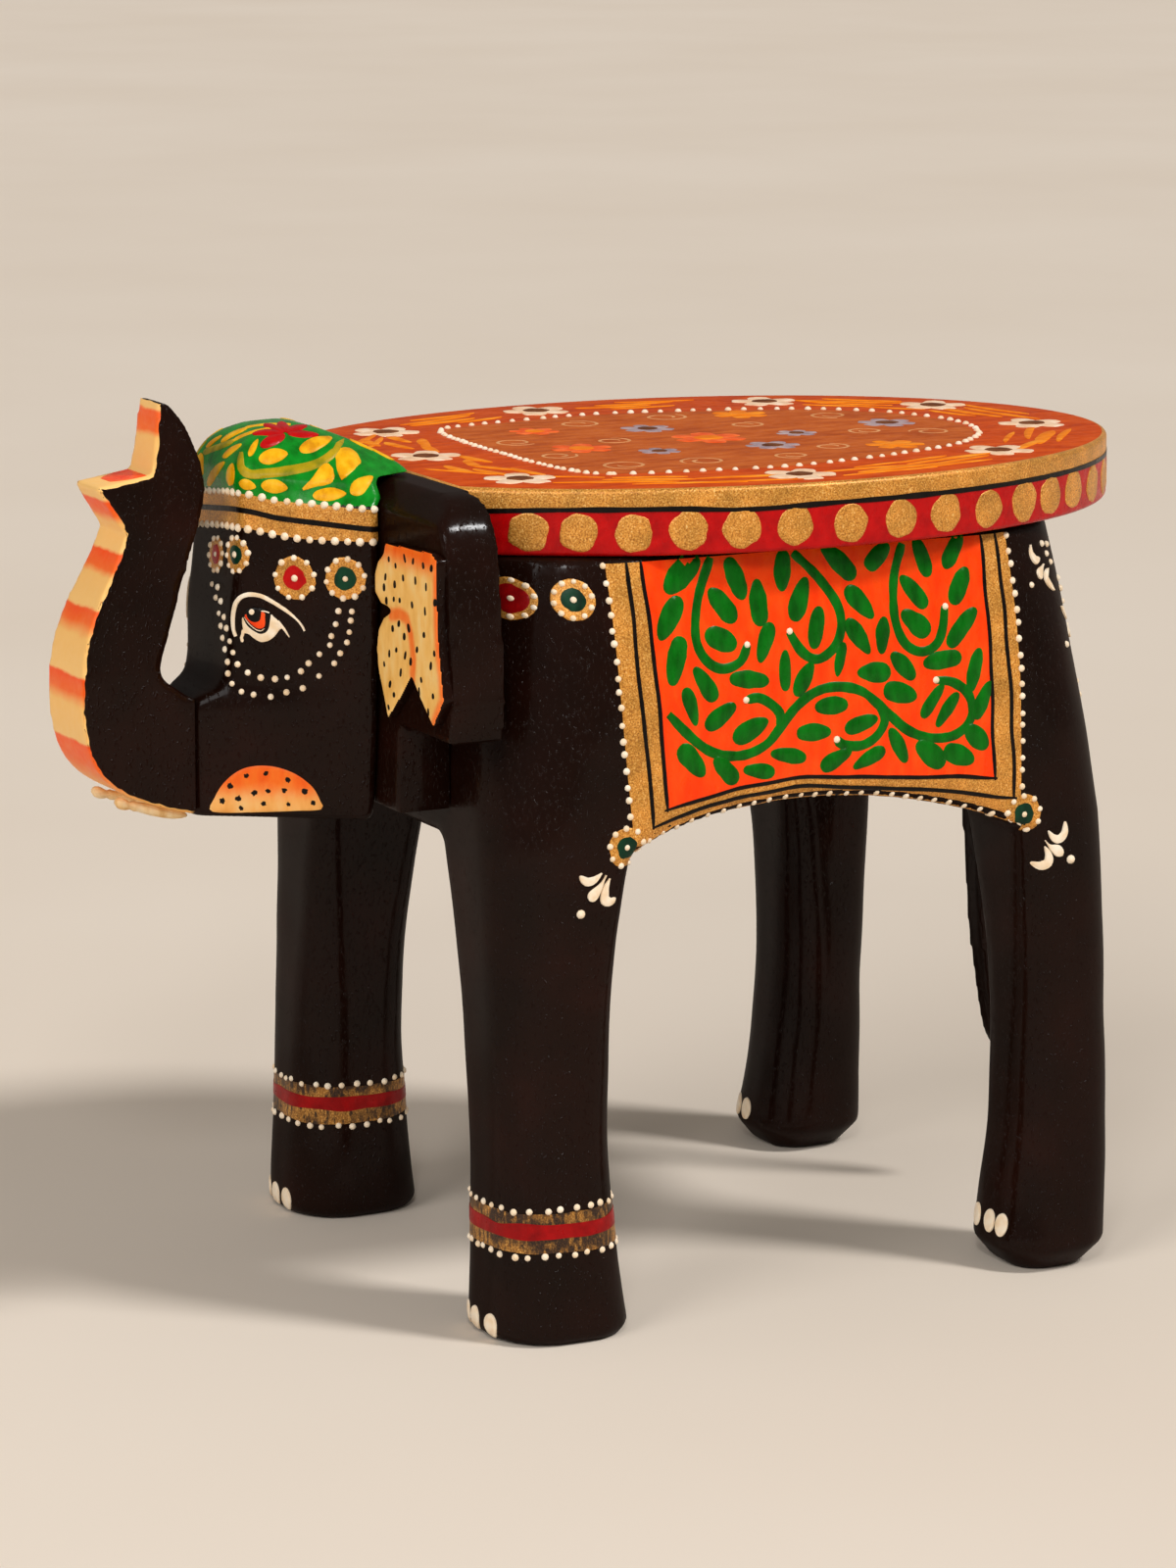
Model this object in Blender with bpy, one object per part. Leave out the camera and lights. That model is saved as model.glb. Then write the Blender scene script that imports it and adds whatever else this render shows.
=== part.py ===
import math

import bmesh
import bpy
from mathutils import Matrix, Vector

# Lengths are in millimetres and become metres when a mesh is made
METRE = 0.001
GAP = 0.3

# Seat board
SEAT_TOP = 204.0
SEAT_THICKNESS = 16.0
SEAT_HALF_WIDTH = 80.0
SEAT_HALF_LENGTH = 110.2
SEAT_CENTRE_Y = 28.2
SEAT_EDGE = 1.0

# Torso block
TORSO_FRONT = -59.7
TORSO_REAR = 108.7
TORSO_REAR_LEAN = 4.5
TORSO_HALF_WIDTH = 77.0
TORSO_SIDE_LEAN = 7.0
CHEST_BOTTOM = 118.5
RUMP_BOTTOM = 115.0
TORSO_TOP = SEAT_TOP - SEAT_THICKNESS - GAP
CORNER_LOW = 18.0
CORNER_HIGH = 38.0
ARCH_FRONT_Y = -27.0
ARCH_TOP_Y = 18.0
ARCH_REAR_Y = 78.9
ARCH_TOP = 126.8

# Legs: inner side, outer side, front, back, round of the outer corner, round of the others
FRONT_LEG_TOP = (35.0, 77.0, -59.7, -26.4, 18.0, 5.0)
FRONT_LEG_WAIST = (41.6, 75.5, -59.2, -29.8, 13.0, 10.0)
FRONT_LEG_FOOT = (43.5, 79.5, -60.9, -24.6, 15.5, 14.0)
FRONT_FOOT_CHAMFER = 2.0
REAR_LEG_TOP = (46.0, 77.0, 79.4, 108.7, 18.0, 5.0)
REAR_LEG_WAIST = (48.0, 76.2, 83.2, 109.4, 12.0, 10.0)
REAR_LEG_FOOT = (47.0, 80.0, 77.4, 109.4, 14.5, 13.0)
REAR_FOOT_CHAMFER = 6.0
WAIST_HEIGHT = 70.0
FRONT_LEG_HEIGHT = CHEST_BOTTOM - GAP
REAR_LEG_HEIGHT = RUMP_BOTTOM - GAP

# Ear board
EAR_REAR = TORSO_FRONT - GAP
EAR_FRONT = EAR_REAR - 13.5
EAR_RELIEF = 2.5
EAR_OUTLINE = (
    (44.0, 126.0), (44.0, 147.5), (73.5, 147.5), (75.0, 157.0), (73.5, 178.0),
    (71.0, 193.0), (67.0, 200.0), (61.0, 203.3), (55.0, 204.0),
)
EAR_RELIEF_OUTLINE = (
    (39.6, 190.0), (38.4, 182.0), (38.6, 176.0), (41.4, 171.0), (38.6, 168.0),
    (39.2, 162.0), (41.2, 154.0), (43.5, 148.2), (49.0, 154.5), (55.5, 162.0),
    (61.0, 157.0), (67.5, 151.2), (74.4, 158.0), (72.9, 178.0), (70.6, 192.5),
)
EAR_TOP_CHAMFER = ((-80.0, 192.3), (-67.5, 204.0))

# Head: height, front, half width in front, half width and place of the side corner, then of the back.
# Above the ear board the cap reaches back over it.
HEAD_BACK = EAR_FRONT - GAP
HEAD_SECTIONS = (
    (122.0, -110.6, 7.5, 28.7, -78.0, 31.0, HEAD_BACK),
    (124.0, -112.4, 9.3, 30.8, -78.0, 33.0, HEAD_BACK),
    (136.0, -112.4, 9.5, 32.2, -78.0, 34.5, HEAD_BACK),
    (148.0, -112.4, 9.7, 33.5, -78.0, 36.0, HEAD_BACK),
    (150.5, -111.4, 10.0, 33.6, -78.0, 36.2, HEAD_BACK),
    (154.5, -105.5, 13.0, 33.8, -78.0, 36.5, HEAD_BACK),
    (160.0, -104.0, 14.0, 34.0, -78.0, 36.7, HEAD_BACK),
    (170.0, -103.5, 14.5, 34.3, -78.0, 37.0, HEAD_BACK),
    (184.0, -101.8, 15.0, 34.6, -78.0, 37.4, HEAD_BACK),
    (198.5, -100.5, 15.0, 34.2, -78.0, 37.0, HEAD_BACK),
    (200.4, -101.0, 15.2, 32.4, -77.0, 35.2, -72.1),
    (204.3, -101.4, 15.2, 29.9, -76.5, 31.8, -72.1),
    (204.5, -101.4, 15.2, 30.6, -73.4, 24.6, -60.9),
    (206.5, -101.0, 14.8, 26.6, -74.4, 22.4, -62.6),
    (209.5, -99.6, 13.8, 21.4, -76.0, 17.6, -67.4),
    (212.5, -96.6, 11.6, 15.2, -79.0, 12.0, -73.6),
    (214.6, -92.6, 7.4, 9.0, -82.0, 7.4, -79.2),
    (215.4, -88.8, 3.0, 3.7, -84.4, 3.0, -83.0),
)
HEAD_FRONT_ROUND = 5.0
HEAD_BACK_ROUND = 2.0

# Trunk, seen from the side
TRUNK_BACK = -112.7
TRUNK_OUTLINE = (
    (-117.8, 222.3), (-119.2, 211.5), (-120.2, 205.1), (-134.4, 202.9), (-127.5, 191.9),
    (-130.8, 184.0), (-135.1, 175.7), (-138.2, 168.3), (-139.8, 161.5), (-140.4, 153.5),
    (-140.1, 146.5), (-138.3, 139.0), (-134.8, 133.5), (-129.6, 129.5), (-122.7, 126.5),
    (-116.0, 124.4), (TRUNK_BACK, 123.6), (TRUNK_BACK, 151.6), (-116.6, 154.5), (-119.6, 157.0),
    (-119.6, 160.5), (-117.0, 168.3), (-114.2, 176.8), (-111.8, 185.0), (-108.7, 193.9),
    (-107.2, 199.7), (-107.2, 205.1), (-108.6, 210.5), (-111.6, 216.9), (-115.4, 221.7),
)
TRUNK_HALF_LOW = 11.3
TRUNK_HALF_TIP = 6.0
TRUNK_TAPER_FROM = 158.0
TRUNK_TOP = 222.4

# Tusks: place along the underside of the trunk, height of the middle, radius
TUSK_X = 7.6
TUSK_PATH = (
    (-113.0, 122.4, 1.1), (-114.2, 122.8, 1.6), (-117.6, 123.6, 1.6), (-122.4, 124.8, 1.5),
    (-125.6, 125.7, 1.2), (-127.6, 126.2, 1.0), (-129.6, 126.8, 1.5), (-130.8, 127.1, 1.2),
    (-131.4, 127.3, 0.6),
)
TUSK_PEG_Y = -118.0
TUSK_PEG_RADIUS = 1.0
TUSK_PEG_LOW = 123.7
TUSK_PEG_TOP = 131.0
TUSK_SIDES = 12

# Tail, seen from the side
TAIL_OUTLINE = (
    (105.4, 180.0), (106.6, 160.0), (107.9, 140.0), (109.1, 117.0), (109.4, 100.0),
    (110.8, 76.0), (113.2, 56.0), (116.4, 41.0), (120.8, 36.0), (121.8, 50.0),
    (119.0, 76.0), (117.4, 100.0), (116.4, 130.0), (114.6, 160.0), (111.4, 178.0),
)
TAIL_HALF_WIDTH = 4.5

# Wooden dowels
LEG_DOWEL_RADIUS = 5.0
LEG_DOWEL_LOW = 92.0
LEG_DOWEL_HIGH = 126.0
FRONT_DOWEL_PLACE = (58.0, -43.5)
REAR_DOWEL_PLACE = (58.0, 92.0)
HEAD_DOWEL_RADIUS = 4.0
HEAD_DOWEL_X = 12.0
HEAD_DOWEL_Z = 165.0
HEAD_DOWEL_ENDS = (-93.0, -49.0)
TRUNK_DOWEL_RADIUS = 2.5
TRUNK_DOWEL_HEIGHTS = (131.5, 143.5)
TRUNK_DOWEL_ENDS = (-124.5, -100.5)

# Wire nails
NAIL_RADIUS = 1.3
NAIL_HEAD_RADIUS = 3.2
NAIL_HEAD_THICKNESS = 1.5
NAIL_POINT = 3.0
SEAT_NAIL_TOP = 202.0
SEAT_NAIL_LENGTH = 31.0
SEAT_NAIL_X = 40.0
SEAT_NAIL_FRONT_Y = -30.0
SEAT_NAIL_REAR_Y = 72.0
EAR_NAIL_X = 26.0
EAR_NAIL_Z = 181.0
EAR_NAIL_LENGTH = 25.0
TAIL_NAIL_Y = 113.4
TAIL_NAIL_Z = 160.0
TAIL_NAIL_LENGTH = 17.0

BLACK_LACQUER = ((0.012, 0.008, 0.007), 0.28, 0.0)
SEAT_PAINT = ((0.55, 0.14, 0.03), 0.30, 0.0)
CREAM_PAINT = ((0.80, 0.56, 0.22), 0.45, 0.0)
BARE_WOOD = ((0.55, 0.38, 0.22), 0.70, 0.0)
STEEL = ((0.42, 0.42, 0.44), 0.40, 1.0)


def make_node(name, bm, finish):
    """Turn a closed bmesh in millimetres into a named object with its own material."""
    bmesh.ops.remove_doubles(bm, verts=bm.verts, dist=0.0001)
    bmesh.ops.recalc_face_normals(bm, faces=bm.faces)
    bmesh.ops.scale(bm, vec=Vector((METRE, METRE, METRE)), verts=bm.verts)
    mesh = bpy.data.meshes.new(name)
    bm.to_mesh(mesh)
    bm.free()
    obj = bpy.data.objects.new(name, mesh)
    bpy.context.scene.collection.objects.link(obj)
    colour, roughness, metallic = finish
    material = bpy.data.materials.new(name + "_paint")
    material.use_nodes = True
    shader = material.node_tree.nodes["Principled BSDF"]
    shader.inputs["Base Color"].default_value = (colour[0], colour[1], colour[2], 1.0)
    shader.inputs["Roughness"].default_value = roughness
    shader.inputs["Metallic"].default_value = metallic
    mesh.materials.append(material)
    return obj


def hide_cutter(obj):
    """Keep a cutting body out of the finished part."""
    obj.hide_render = True
    obj.display_type = "WIRE"


def apply_body(obj, other, operation):
    """Cut another body from an object, or join it on, and drop that body."""
    modifier = obj.modifiers.new(operation.lower(), "BOOLEAN")
    modifier.operation = operation
    modifier.solver = "EXACT"
    modifier.object = other
    hide_cutter(other)
    graph = bpy.context.evaluated_depsgraph_get()
    mesh = bpy.data.meshes.new_from_object(obj.evaluated_get(graph))
    material = obj.data.materials[0]
    obj.modifiers.remove(modifier)
    obj.data = mesh
    mesh.materials.clear()
    mesh.materials.append(material)
    bpy.data.objects.remove(other)


def loft(rings):
    """A closed body through a stack of rings that all have the same number of points."""
    bm = bmesh.new()
    rows = [[bm.verts.new(point) for point in ring] for ring in rings]
    count = len(rows[0])
    for low, high in zip(rows, rows[1:]):
        for i in range(count):
            j = (i + 1) % count
            bm.faces.new((low[i], low[j], high[j], high[i]))
    bm.faces.new(list(reversed(rows[0])))
    bm.faces.new(rows[-1])
    return bm


def plate(outline, axis, low, high):
    """A flat outline pushed through from one place to another along the x or y axis."""
    bm = bmesh.new()
    if axis == "x":
        verts = [bm.verts.new((low, a, b)) for a, b in outline]
        push = Vector((high - low, 0.0, 0.0))
    else:
        verts = [bm.verts.new((a, low, b)) for a, b in outline]
        push = Vector((0.0, high - low, 0.0))
    face = bm.faces.new(verts)
    grown = bmesh.ops.extrude_face_region(bm, geom=[face])
    moved = [v for v in grown["geom"] if isinstance(v, bmesh.types.BMVert)]
    bmesh.ops.translate(bm, vec=push, verts=moved)
    return bm


def rounded_corners(points, radii, steps):
    """Replace each corner of a convex outline by an arc with its own radius."""
    result = []
    count = len(points)
    for i in range(count):
        here = Vector(points[i])
        before = (Vector(points[i - 1]) - here).normalized()
        after = (Vector(points[(i + 1) % count]) - here).normalized()
        half = 0.5 * before.angle(after)
        radius = radii[i]
        middle = here + (before + after).normalized() * (radius / math.sin(half))
        start = here + before * (radius / math.tan(half)) - middle
        sweep = math.pi - 2.0 * half
        for step in range(steps + 1):
            turn = Matrix.Rotation(sweep * step / steps, 2)
            result.append(middle + turn @ start)
    return result


def rectangle_ring(section, outer_corner, z, inset, steps):
    """One level of a leg or of the torso: inner, outer, front, back and two radii."""
    x0, x1, y0, y1, big, small = section
    corners = [(x0 + inset, y0 + inset), (x1 - inset, y0 + inset),
               (x1 - inset, y1 - inset), (x0 + inset, y1 - inset)]
    radii = [max(small - inset, 1.0)] * 4
    for corner in outer_corner:
        radii[corner] = max(big - inset, 1.0)
    return [(p.x, p.y, z) for p in rounded_corners(corners, radii, steps)]


def through(z, height, foot, waist, top):
    """The section at one level, on the curve through foot, waist and top."""
    a = (z - WAIST_HEIGHT) * (z - height) / (WAIST_HEIGHT * height)
    b = z * (z - height) / (WAIST_HEIGHT * (WAIST_HEIGHT - height))
    c = z * (z - WAIST_HEIGHT) / (height * (height - WAIST_HEIGHT))
    return [a * f + b * w + c * t for f, w, t in zip(foot, waist, top)]


def leg(name, height, foot, waist, top, chamfer, outer_corner, side):
    """A waisted leg, lofted from the foot up and mirrored for the right side."""
    rings = [rectangle_ring(foot, outer_corner, 0.0, chamfer, 4)]
    for z in [chamfer, 12.0, 25.0, 40.0, 55.0, 70.0, 85.0, 98.0, 108.0, height]:
        section = through(z, height, foot, waist, top)
        rings.append(rectangle_ring(section, outer_corner, z, 0.0, 4))
    mirrored = [[(side * x, y, z) for x, y, z in ring] for ring in rings]
    return make_node(name, loft(mirrored), BLACK_LACQUER)


def torso_ring(z):
    """One level of the torso: the corners get rounder and the sides lean in going up."""
    t = (z - RUMP_BOTTOM) / (TORSO_TOP - RUMP_BOTTOM)
    width = TORSO_HALF_WIDTH - TORSO_SIDE_LEAN * t ** 2.2
    rear = TORSO_REAR - TORSO_REAR_LEAN * t
    corner = CORNER_LOW + (CORNER_HIGH - CORNER_LOW) * t
    section = (-width, width, TORSO_FRONT, rear, corner, corner)
    return rectangle_ring(section, (0, 1, 2, 3), z, 0.0, 7)


def cylinder(radius, start, end, sides):
    """A round rod between two places."""
    axis = Vector(end) - Vector(start)
    bm = bmesh.new()
    bmesh.ops.create_cone(bm, cap_ends=True, segments=sides, radius1=radius, radius2=radius,
                          depth=axis.length)
    turn = Vector((0.0, 0.0, 1.0)).rotation_difference(axis).to_matrix().to_4x4()
    bmesh.ops.transform(bm, matrix=turn, verts=bm.verts)
    bmesh.ops.translate(bm, vec=(Vector(start) + Vector(end)) * 0.5, verts=bm.verts)
    return bm


def nail_body(head_place, direction, length, extra):
    """A wire nail with a flat head, or the hole for it when extra is the play."""
    shank = NAIL_RADIUS + extra
    wide = NAIL_HEAD_RADIUS + extra
    levels = [(-extra, wide), (NAIL_HEAD_THICKNESS + extra, wide), (NAIL_HEAD_THICKNESS + extra, shank),
              (length - NAIL_POINT, shank), (length + extra, 0.4 + extra)]
    sides = 12
    rings = []
    for depth, radius in levels:
        rings.append([(radius * math.cos(2.0 * math.pi * i / sides),
                       radius * math.sin(2.0 * math.pi * i / sides), depth) for i in range(sides)])
    bm = loft(rings)
    turn = Vector((0.0, 0.0, 1.0)).rotation_difference(Vector(direction)).to_matrix().to_4x4()
    bmesh.ops.transform(bm, matrix=turn, verts=bm.verts)
    bmesh.ops.translate(bm, vec=Vector(head_place), verts=bm.verts)
    return bm


def add_dowel(name, radius, start, end, hosts):
    """A wooden dowel and its hole in every piece that it joins."""
    axis = (Vector(end) - Vector(start)).normalized() * GAP
    for host in hosts:
        hole = cylinder(radius + GAP, Vector(start) - axis, Vector(end) + axis, 20)
        apply_body(host, make_node(name + "_hole", hole, BARE_WOOD), "DIFFERENCE")
    return make_node(name, cylinder(radius, start, end, 20), BARE_WOOD)


def add_nail(name, head_place, direction, length, hosts):
    """A nail and its hole in every piece that it joins."""
    for host in hosts:
        hole = nail_body(head_place, direction, length, GAP)
        apply_body(host, make_node(name + "_hole", hole, STEEL), "DIFFERENCE")
    return make_node(name, nail_body(head_place, direction, length, 0.0), STEEL)


for old in list(bpy.data.objects):
    bpy.data.objects.remove(old)

# Seat board: an oval cut straight where it meets the ear board
front_reach = (SEAT_CENTRE_Y - TORSO_FRONT) / SEAT_HALF_LENGTH
cut_angle = math.asin(front_reach)
seat_outline = []
SEAT_SIDES = 72
for i in range(SEAT_SIDES + 1):
    angle = -cut_angle + (math.pi + 2.0 * cut_angle) * i / SEAT_SIDES
    seat_outline.append((math.cos(angle), math.sin(angle)))
seat_rings = []
for z, inset in ((SEAT_TOP - SEAT_THICKNESS, SEAT_EDGE), (SEAT_TOP - SEAT_THICKNESS + SEAT_EDGE, 0.0),
                 (SEAT_TOP - SEAT_EDGE, 0.0), (SEAT_TOP, SEAT_EDGE)):
    seat_rings.append([((SEAT_HALF_WIDTH - inset) * c,
                        max(SEAT_CENTRE_Y + (SEAT_HALF_LENGTH - inset) * s, TORSO_FRONT), z)
                       for c, s in seat_outline])
seat_board = make_node("seat_board", loft(seat_rings), SEAT_PAINT)

# Torso block with the belly arch cut across
torso_levels = 8
torso_rings = [torso_ring(RUMP_BOTTOM + (TORSO_TOP - RUMP_BOTTOM) * i / torso_levels)
               for i in range(torso_levels + 1)]
torso = make_node("torso", loft(torso_rings), BLACK_LACQUER)
belly = [(TORSO_FRONT - 20.0, RUMP_BOTTOM - 10.0), (TORSO_FRONT - 20.0, CHEST_BOTTOM)]
for i in range(17):
    y = ARCH_FRONT_Y + (ARCH_REAR_Y - ARCH_FRONT_Y) * i / 16.0
    end_y, end_z = (ARCH_FRONT_Y, CHEST_BOTTOM) if y < ARCH_TOP_Y else (ARCH_REAR_Y, RUMP_BOTTOM)
    belly.append((y, ARCH_TOP - (ARCH_TOP - end_z) * ((y - ARCH_TOP_Y) / (end_y - ARCH_TOP_Y)) ** 2))
belly.append((ARCH_REAR_Y, RUMP_BOTTOM - 10.0))
apply_body(torso, make_node("belly", plate(belly, "x", -90.0, 90.0), BARE_WOOD), "DIFFERENCE")

# Legs
legs = {}
for side_name, side in (("left", 1.0), ("right", -1.0)):
    legs["front_" + side_name] = leg("front_" + side_name + "_leg", FRONT_LEG_HEIGHT, FRONT_LEG_FOOT,
                                     FRONT_LEG_WAIST, FRONT_LEG_TOP, FRONT_FOOT_CHAMFER, (1,), side)
    legs["rear_" + side_name] = leg("rear_" + side_name + "_leg", REAR_LEG_HEIGHT, REAR_LEG_FOOT,
                                    REAR_LEG_WAIST, REAR_LEG_TOP, REAR_FOOT_CHAMFER, (2,), side)

# Ear board with a carved ear standing out on each side
ear_half = list(EAR_OUTLINE)
ear_full = ear_half + [(-x, z) for x, z in reversed(ear_half)]
ear_board = make_node("ear_board", plate(ear_full, "y", EAR_FRONT, EAR_REAR), BLACK_LACQUER)
for side in (1.0, -1.0):
    relief = [(side * x, z) for x, z in EAR_RELIEF_OUTLINE]
    carved = plate(relief, "y", EAR_FRONT - EAR_RELIEF, EAR_FRONT + 1.0)
    apply_body(ear_board, make_node("carved_ear", carved, CREAM_PAINT), "UNION")
(ya, za), (yb, zb) = EAR_TOP_CHAMFER
wedge = plate([(ya, za), (yb, zb), (yb, zb + 6.0), (ya, zb + 6.0)], "x", -90.0, 90.0)
apply_body(ear_board, make_node("wedge", wedge, BARE_WOOD), "DIFFERENCE")

# Head block with the domed cap
head_rings = []
for z, front, front_half, side_half, side, back_half, back in HEAD_SECTIONS:
    corners = [(-front_half, front), (front_half, front), (side_half, side),
               (back_half, back), (-back_half, back), (-side_half, side)]
    room = min(HEAD_FRONT_ROUND, 0.62 * front_half)
    back_room = min(HEAD_BACK_ROUND, 0.25 * back_half)
    radii = (room, room, back_room, back_room, back_room, back_room)
    head_rings.append([(p.x, p.y, z) for p in rounded_corners(corners, radii, 4)])
head = make_node("head", loft(head_rings), BLACK_LACQUER)

# Trunk sawn from a plank and thinned towards its tip
trunk_bm = plate(TRUNK_OUTLINE, "x", -1.0, 1.0)
for vert in trunk_bm.verts:
    t = max(0.0, (vert.co.z - TRUNK_TAPER_FROM) / (TRUNK_TOP - TRUNK_TAPER_FROM))
    vert.co.x *= TRUNK_HALF_LOW + (TRUNK_HALF_TIP - TRUNK_HALF_LOW) * t
trunk = make_node("trunk", trunk_bm, BLACK_LACQUER)

# Tusks, each in a groove under the trunk and with a peg that goes up into it
def tusk_body(side, extra):
    rings = []
    for i, (y, z, radius) in enumerate(TUSK_PATH):
        ends = (extra if i == 0 else 0.0) - (extra if i == len(TUSK_PATH) - 1 else 0.0)
        rings.append([(side * TUSK_X + (radius + extra) * math.cos(2.0 * math.pi * k / TUSK_SIDES), y + ends,
                       z + (radius + extra) * math.sin(2.0 * math.pi * k / TUSK_SIDES))
                      for k in range(TUSK_SIDES)])
    return loft(rings)


for side_name, side in (("left", 1.0), ("right", -1.0)):
    tusk = make_node(side_name + "_tusk", tusk_body(side, 0.0), CREAM_PAINT)
    base = (side * TUSK_X, TUSK_PEG_Y, TUSK_PEG_LOW)
    tip = (side * TUSK_X, TUSK_PEG_Y, TUSK_PEG_TOP)
    apply_body(tusk, make_node("peg", cylinder(TUSK_PEG_RADIUS, base, tip, 12), CREAM_PAINT), "UNION")
    hole = cylinder(TUSK_PEG_RADIUS + GAP, base, Vector(tip) + Vector((0.0, 0.0, GAP)), 12)
    apply_body(trunk, make_node("groove", tusk_body(side, GAP), CREAM_PAINT), "DIFFERENCE")
    apply_body(trunk, make_node("peg_hole", hole, CREAM_PAINT), "DIFFERENCE")

# Tail, thinner at its end
tail_bm = plate(TAIL_OUTLINE, "x", -1.0, 1.0)
for vert in tail_bm.verts:
    vert.co.x *= TAIL_HALF_WIDTH * (0.55 + 0.45 * min(1.0, (vert.co.z - 36.0) / 80.0))
tail = make_node("tail", tail_bm, BLACK_LACQUER)

# Dowels
for end_name, place in (("front", FRONT_DOWEL_PLACE), ("rear", REAR_DOWEL_PLACE)):
    for side_name, side in (("left", 1.0), ("right", -1.0)):
        spot = (side * place[0], place[1])
        add_dowel(end_name + "_" + side_name + "_leg_dowel", LEG_DOWEL_RADIUS,
                  (spot[0], spot[1], LEG_DOWEL_LOW), (spot[0], spot[1], LEG_DOWEL_HIGH),
                  (legs[end_name + "_" + side_name], torso))
for side_name, side in (("left", 1.0), ("right", -1.0)):
    x = side * HEAD_DOWEL_X
    add_dowel(side_name + "_head_dowel", HEAD_DOWEL_RADIUS, (x, HEAD_DOWEL_ENDS[0], HEAD_DOWEL_Z),
              (x, HEAD_DOWEL_ENDS[1], HEAD_DOWEL_Z), (head, ear_board, torso))
for level_name, z in zip(("lower", "upper"), TRUNK_DOWEL_HEIGHTS):
    add_dowel(level_name + "_trunk_dowel", TRUNK_DOWEL_RADIUS, (0.0, TRUNK_DOWEL_ENDS[0], z),
              (0.0, TRUNK_DOWEL_ENDS[1], z), (trunk, head))

# Nails
for end_name, y in (("front", SEAT_NAIL_FRONT_Y), ("rear", SEAT_NAIL_REAR_Y)):
    for side_name, side in (("left", 1.0), ("right", -1.0)):
        add_nail(end_name + "_" + side_name + "_seat_nail", (side * SEAT_NAIL_X, y, SEAT_NAIL_TOP),
                 (0.0, 0.0, -1.0), SEAT_NAIL_LENGTH, (seat_board, torso))
for side_name, side in (("left", 1.0), ("right", -1.0)):
    add_nail(side_name + "_ear_nail", (side * EAR_NAIL_X, EAR_FRONT + GAP, EAR_NAIL_Z), (0.0, 1.0, 0.0),
             EAR_NAIL_LENGTH, (ear_board, torso))
add_nail("tail_nail", (0.0, TAIL_NAIL_Y, TAIL_NAIL_Z), (0.0, -1.0, 0.0), TAIL_NAIL_LENGTH, (tail, torso))
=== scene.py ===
"""Finish of the carved and painted elephant stool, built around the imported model."""
import math
import random

import bmesh
import bpy
from mathutils import Matrix, Vector, kdtree, noise
from mathutils.bvhtree import BVHTree


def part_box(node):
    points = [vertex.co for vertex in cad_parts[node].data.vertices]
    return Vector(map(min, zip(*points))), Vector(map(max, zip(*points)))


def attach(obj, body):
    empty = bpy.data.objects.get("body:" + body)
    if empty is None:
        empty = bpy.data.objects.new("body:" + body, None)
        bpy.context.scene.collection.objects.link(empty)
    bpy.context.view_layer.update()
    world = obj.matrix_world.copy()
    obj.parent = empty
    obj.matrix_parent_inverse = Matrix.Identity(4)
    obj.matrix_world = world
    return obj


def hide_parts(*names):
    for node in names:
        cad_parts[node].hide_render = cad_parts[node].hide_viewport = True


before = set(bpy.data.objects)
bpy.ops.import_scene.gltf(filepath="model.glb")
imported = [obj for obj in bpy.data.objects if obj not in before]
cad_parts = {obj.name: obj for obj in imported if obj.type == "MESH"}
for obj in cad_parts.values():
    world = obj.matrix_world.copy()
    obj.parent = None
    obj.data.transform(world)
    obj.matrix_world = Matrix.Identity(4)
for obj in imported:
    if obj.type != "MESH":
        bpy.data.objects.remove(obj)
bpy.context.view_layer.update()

# Places and sizes are in millimetres and become metres when a mesh is made
MM = 0.001
UP = Vector((0.0, 0.0, 1.0))
SIDES = (("left", 1.0), ("right", -1.0))
# Wider than the stool, for what is cut right across it
BEYOND = 90.0
chance = random.Random(5)


def node_box(name):
    """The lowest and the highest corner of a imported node, in millimetres."""
    low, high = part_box(name)
    return low / MM, high / MM


# Seat board, as packed
seat_low, seat_high = node_box("seat_board")
SEAT_TOP = seat_high.z
SEAT_BOTTOM = seat_low.z
SEAT_CUT = seat_low.y
SEAT_HALF_WIDTH = seat_high.x
SEAT_HALF_LENGTH = 110.2
SEAT_CENTRE_Y = seat_high.y - SEAT_HALF_LENGTH
SEAT_EDGE = 1.2

# Torso block, as packed
TORSO_FRONT = -59.7
TORSO_REAR = 108.7
TORSO_REAR_LEAN = 4.5
TORSO_HALF_WIDTH = 77.0
TORSO_SIDE_LEAN = 7.0
TORSO_TOP = 187.7
CHEST_BOTTOM = 118.5
RUMP_BOTTOM = 115.0
CORNER_LOW = 18.0
CORNER_HIGH = 38.0
ARCH_FRONT_Y = -27.0
ARCH_TOP_Y = 18.0
ARCH_REAR_Y = 78.9
ARCH_TOP = 126.8

# Legs: inner side, outer side, front, back, round of the outer corner, round of the others
WAIST_HEIGHT = 70.0
FRONT_LEG = {
    "top": (35.0, 77.0, -59.7, -26.4, 19.0, 5.0),
    "waist": (41.6, 75.5, -59.2, -29.8, 13.0, 10.0),
    "foot": (43.5, 79.5, -60.9, -24.6, 15.5, 14.0),
    "chamfer": 2.0, "joint": CHEST_BOTTOM, "corner": 1,
}
REAR_LEG = {
    "top": (46.0, 77.0, 79.4, 108.7, 18.0, 5.0),
    "waist": (48.0, 76.2, 83.2, 109.4, 12.0, 10.0),
    "foot": (47.0, 80.0, 77.4, 109.4, 14.5, 13.0),
    "chamfer": 6.0, "joint": RUMP_BOTTOM, "corner": 2,
}
LEG_MIDDLE = (61.5, -43.3)

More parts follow.
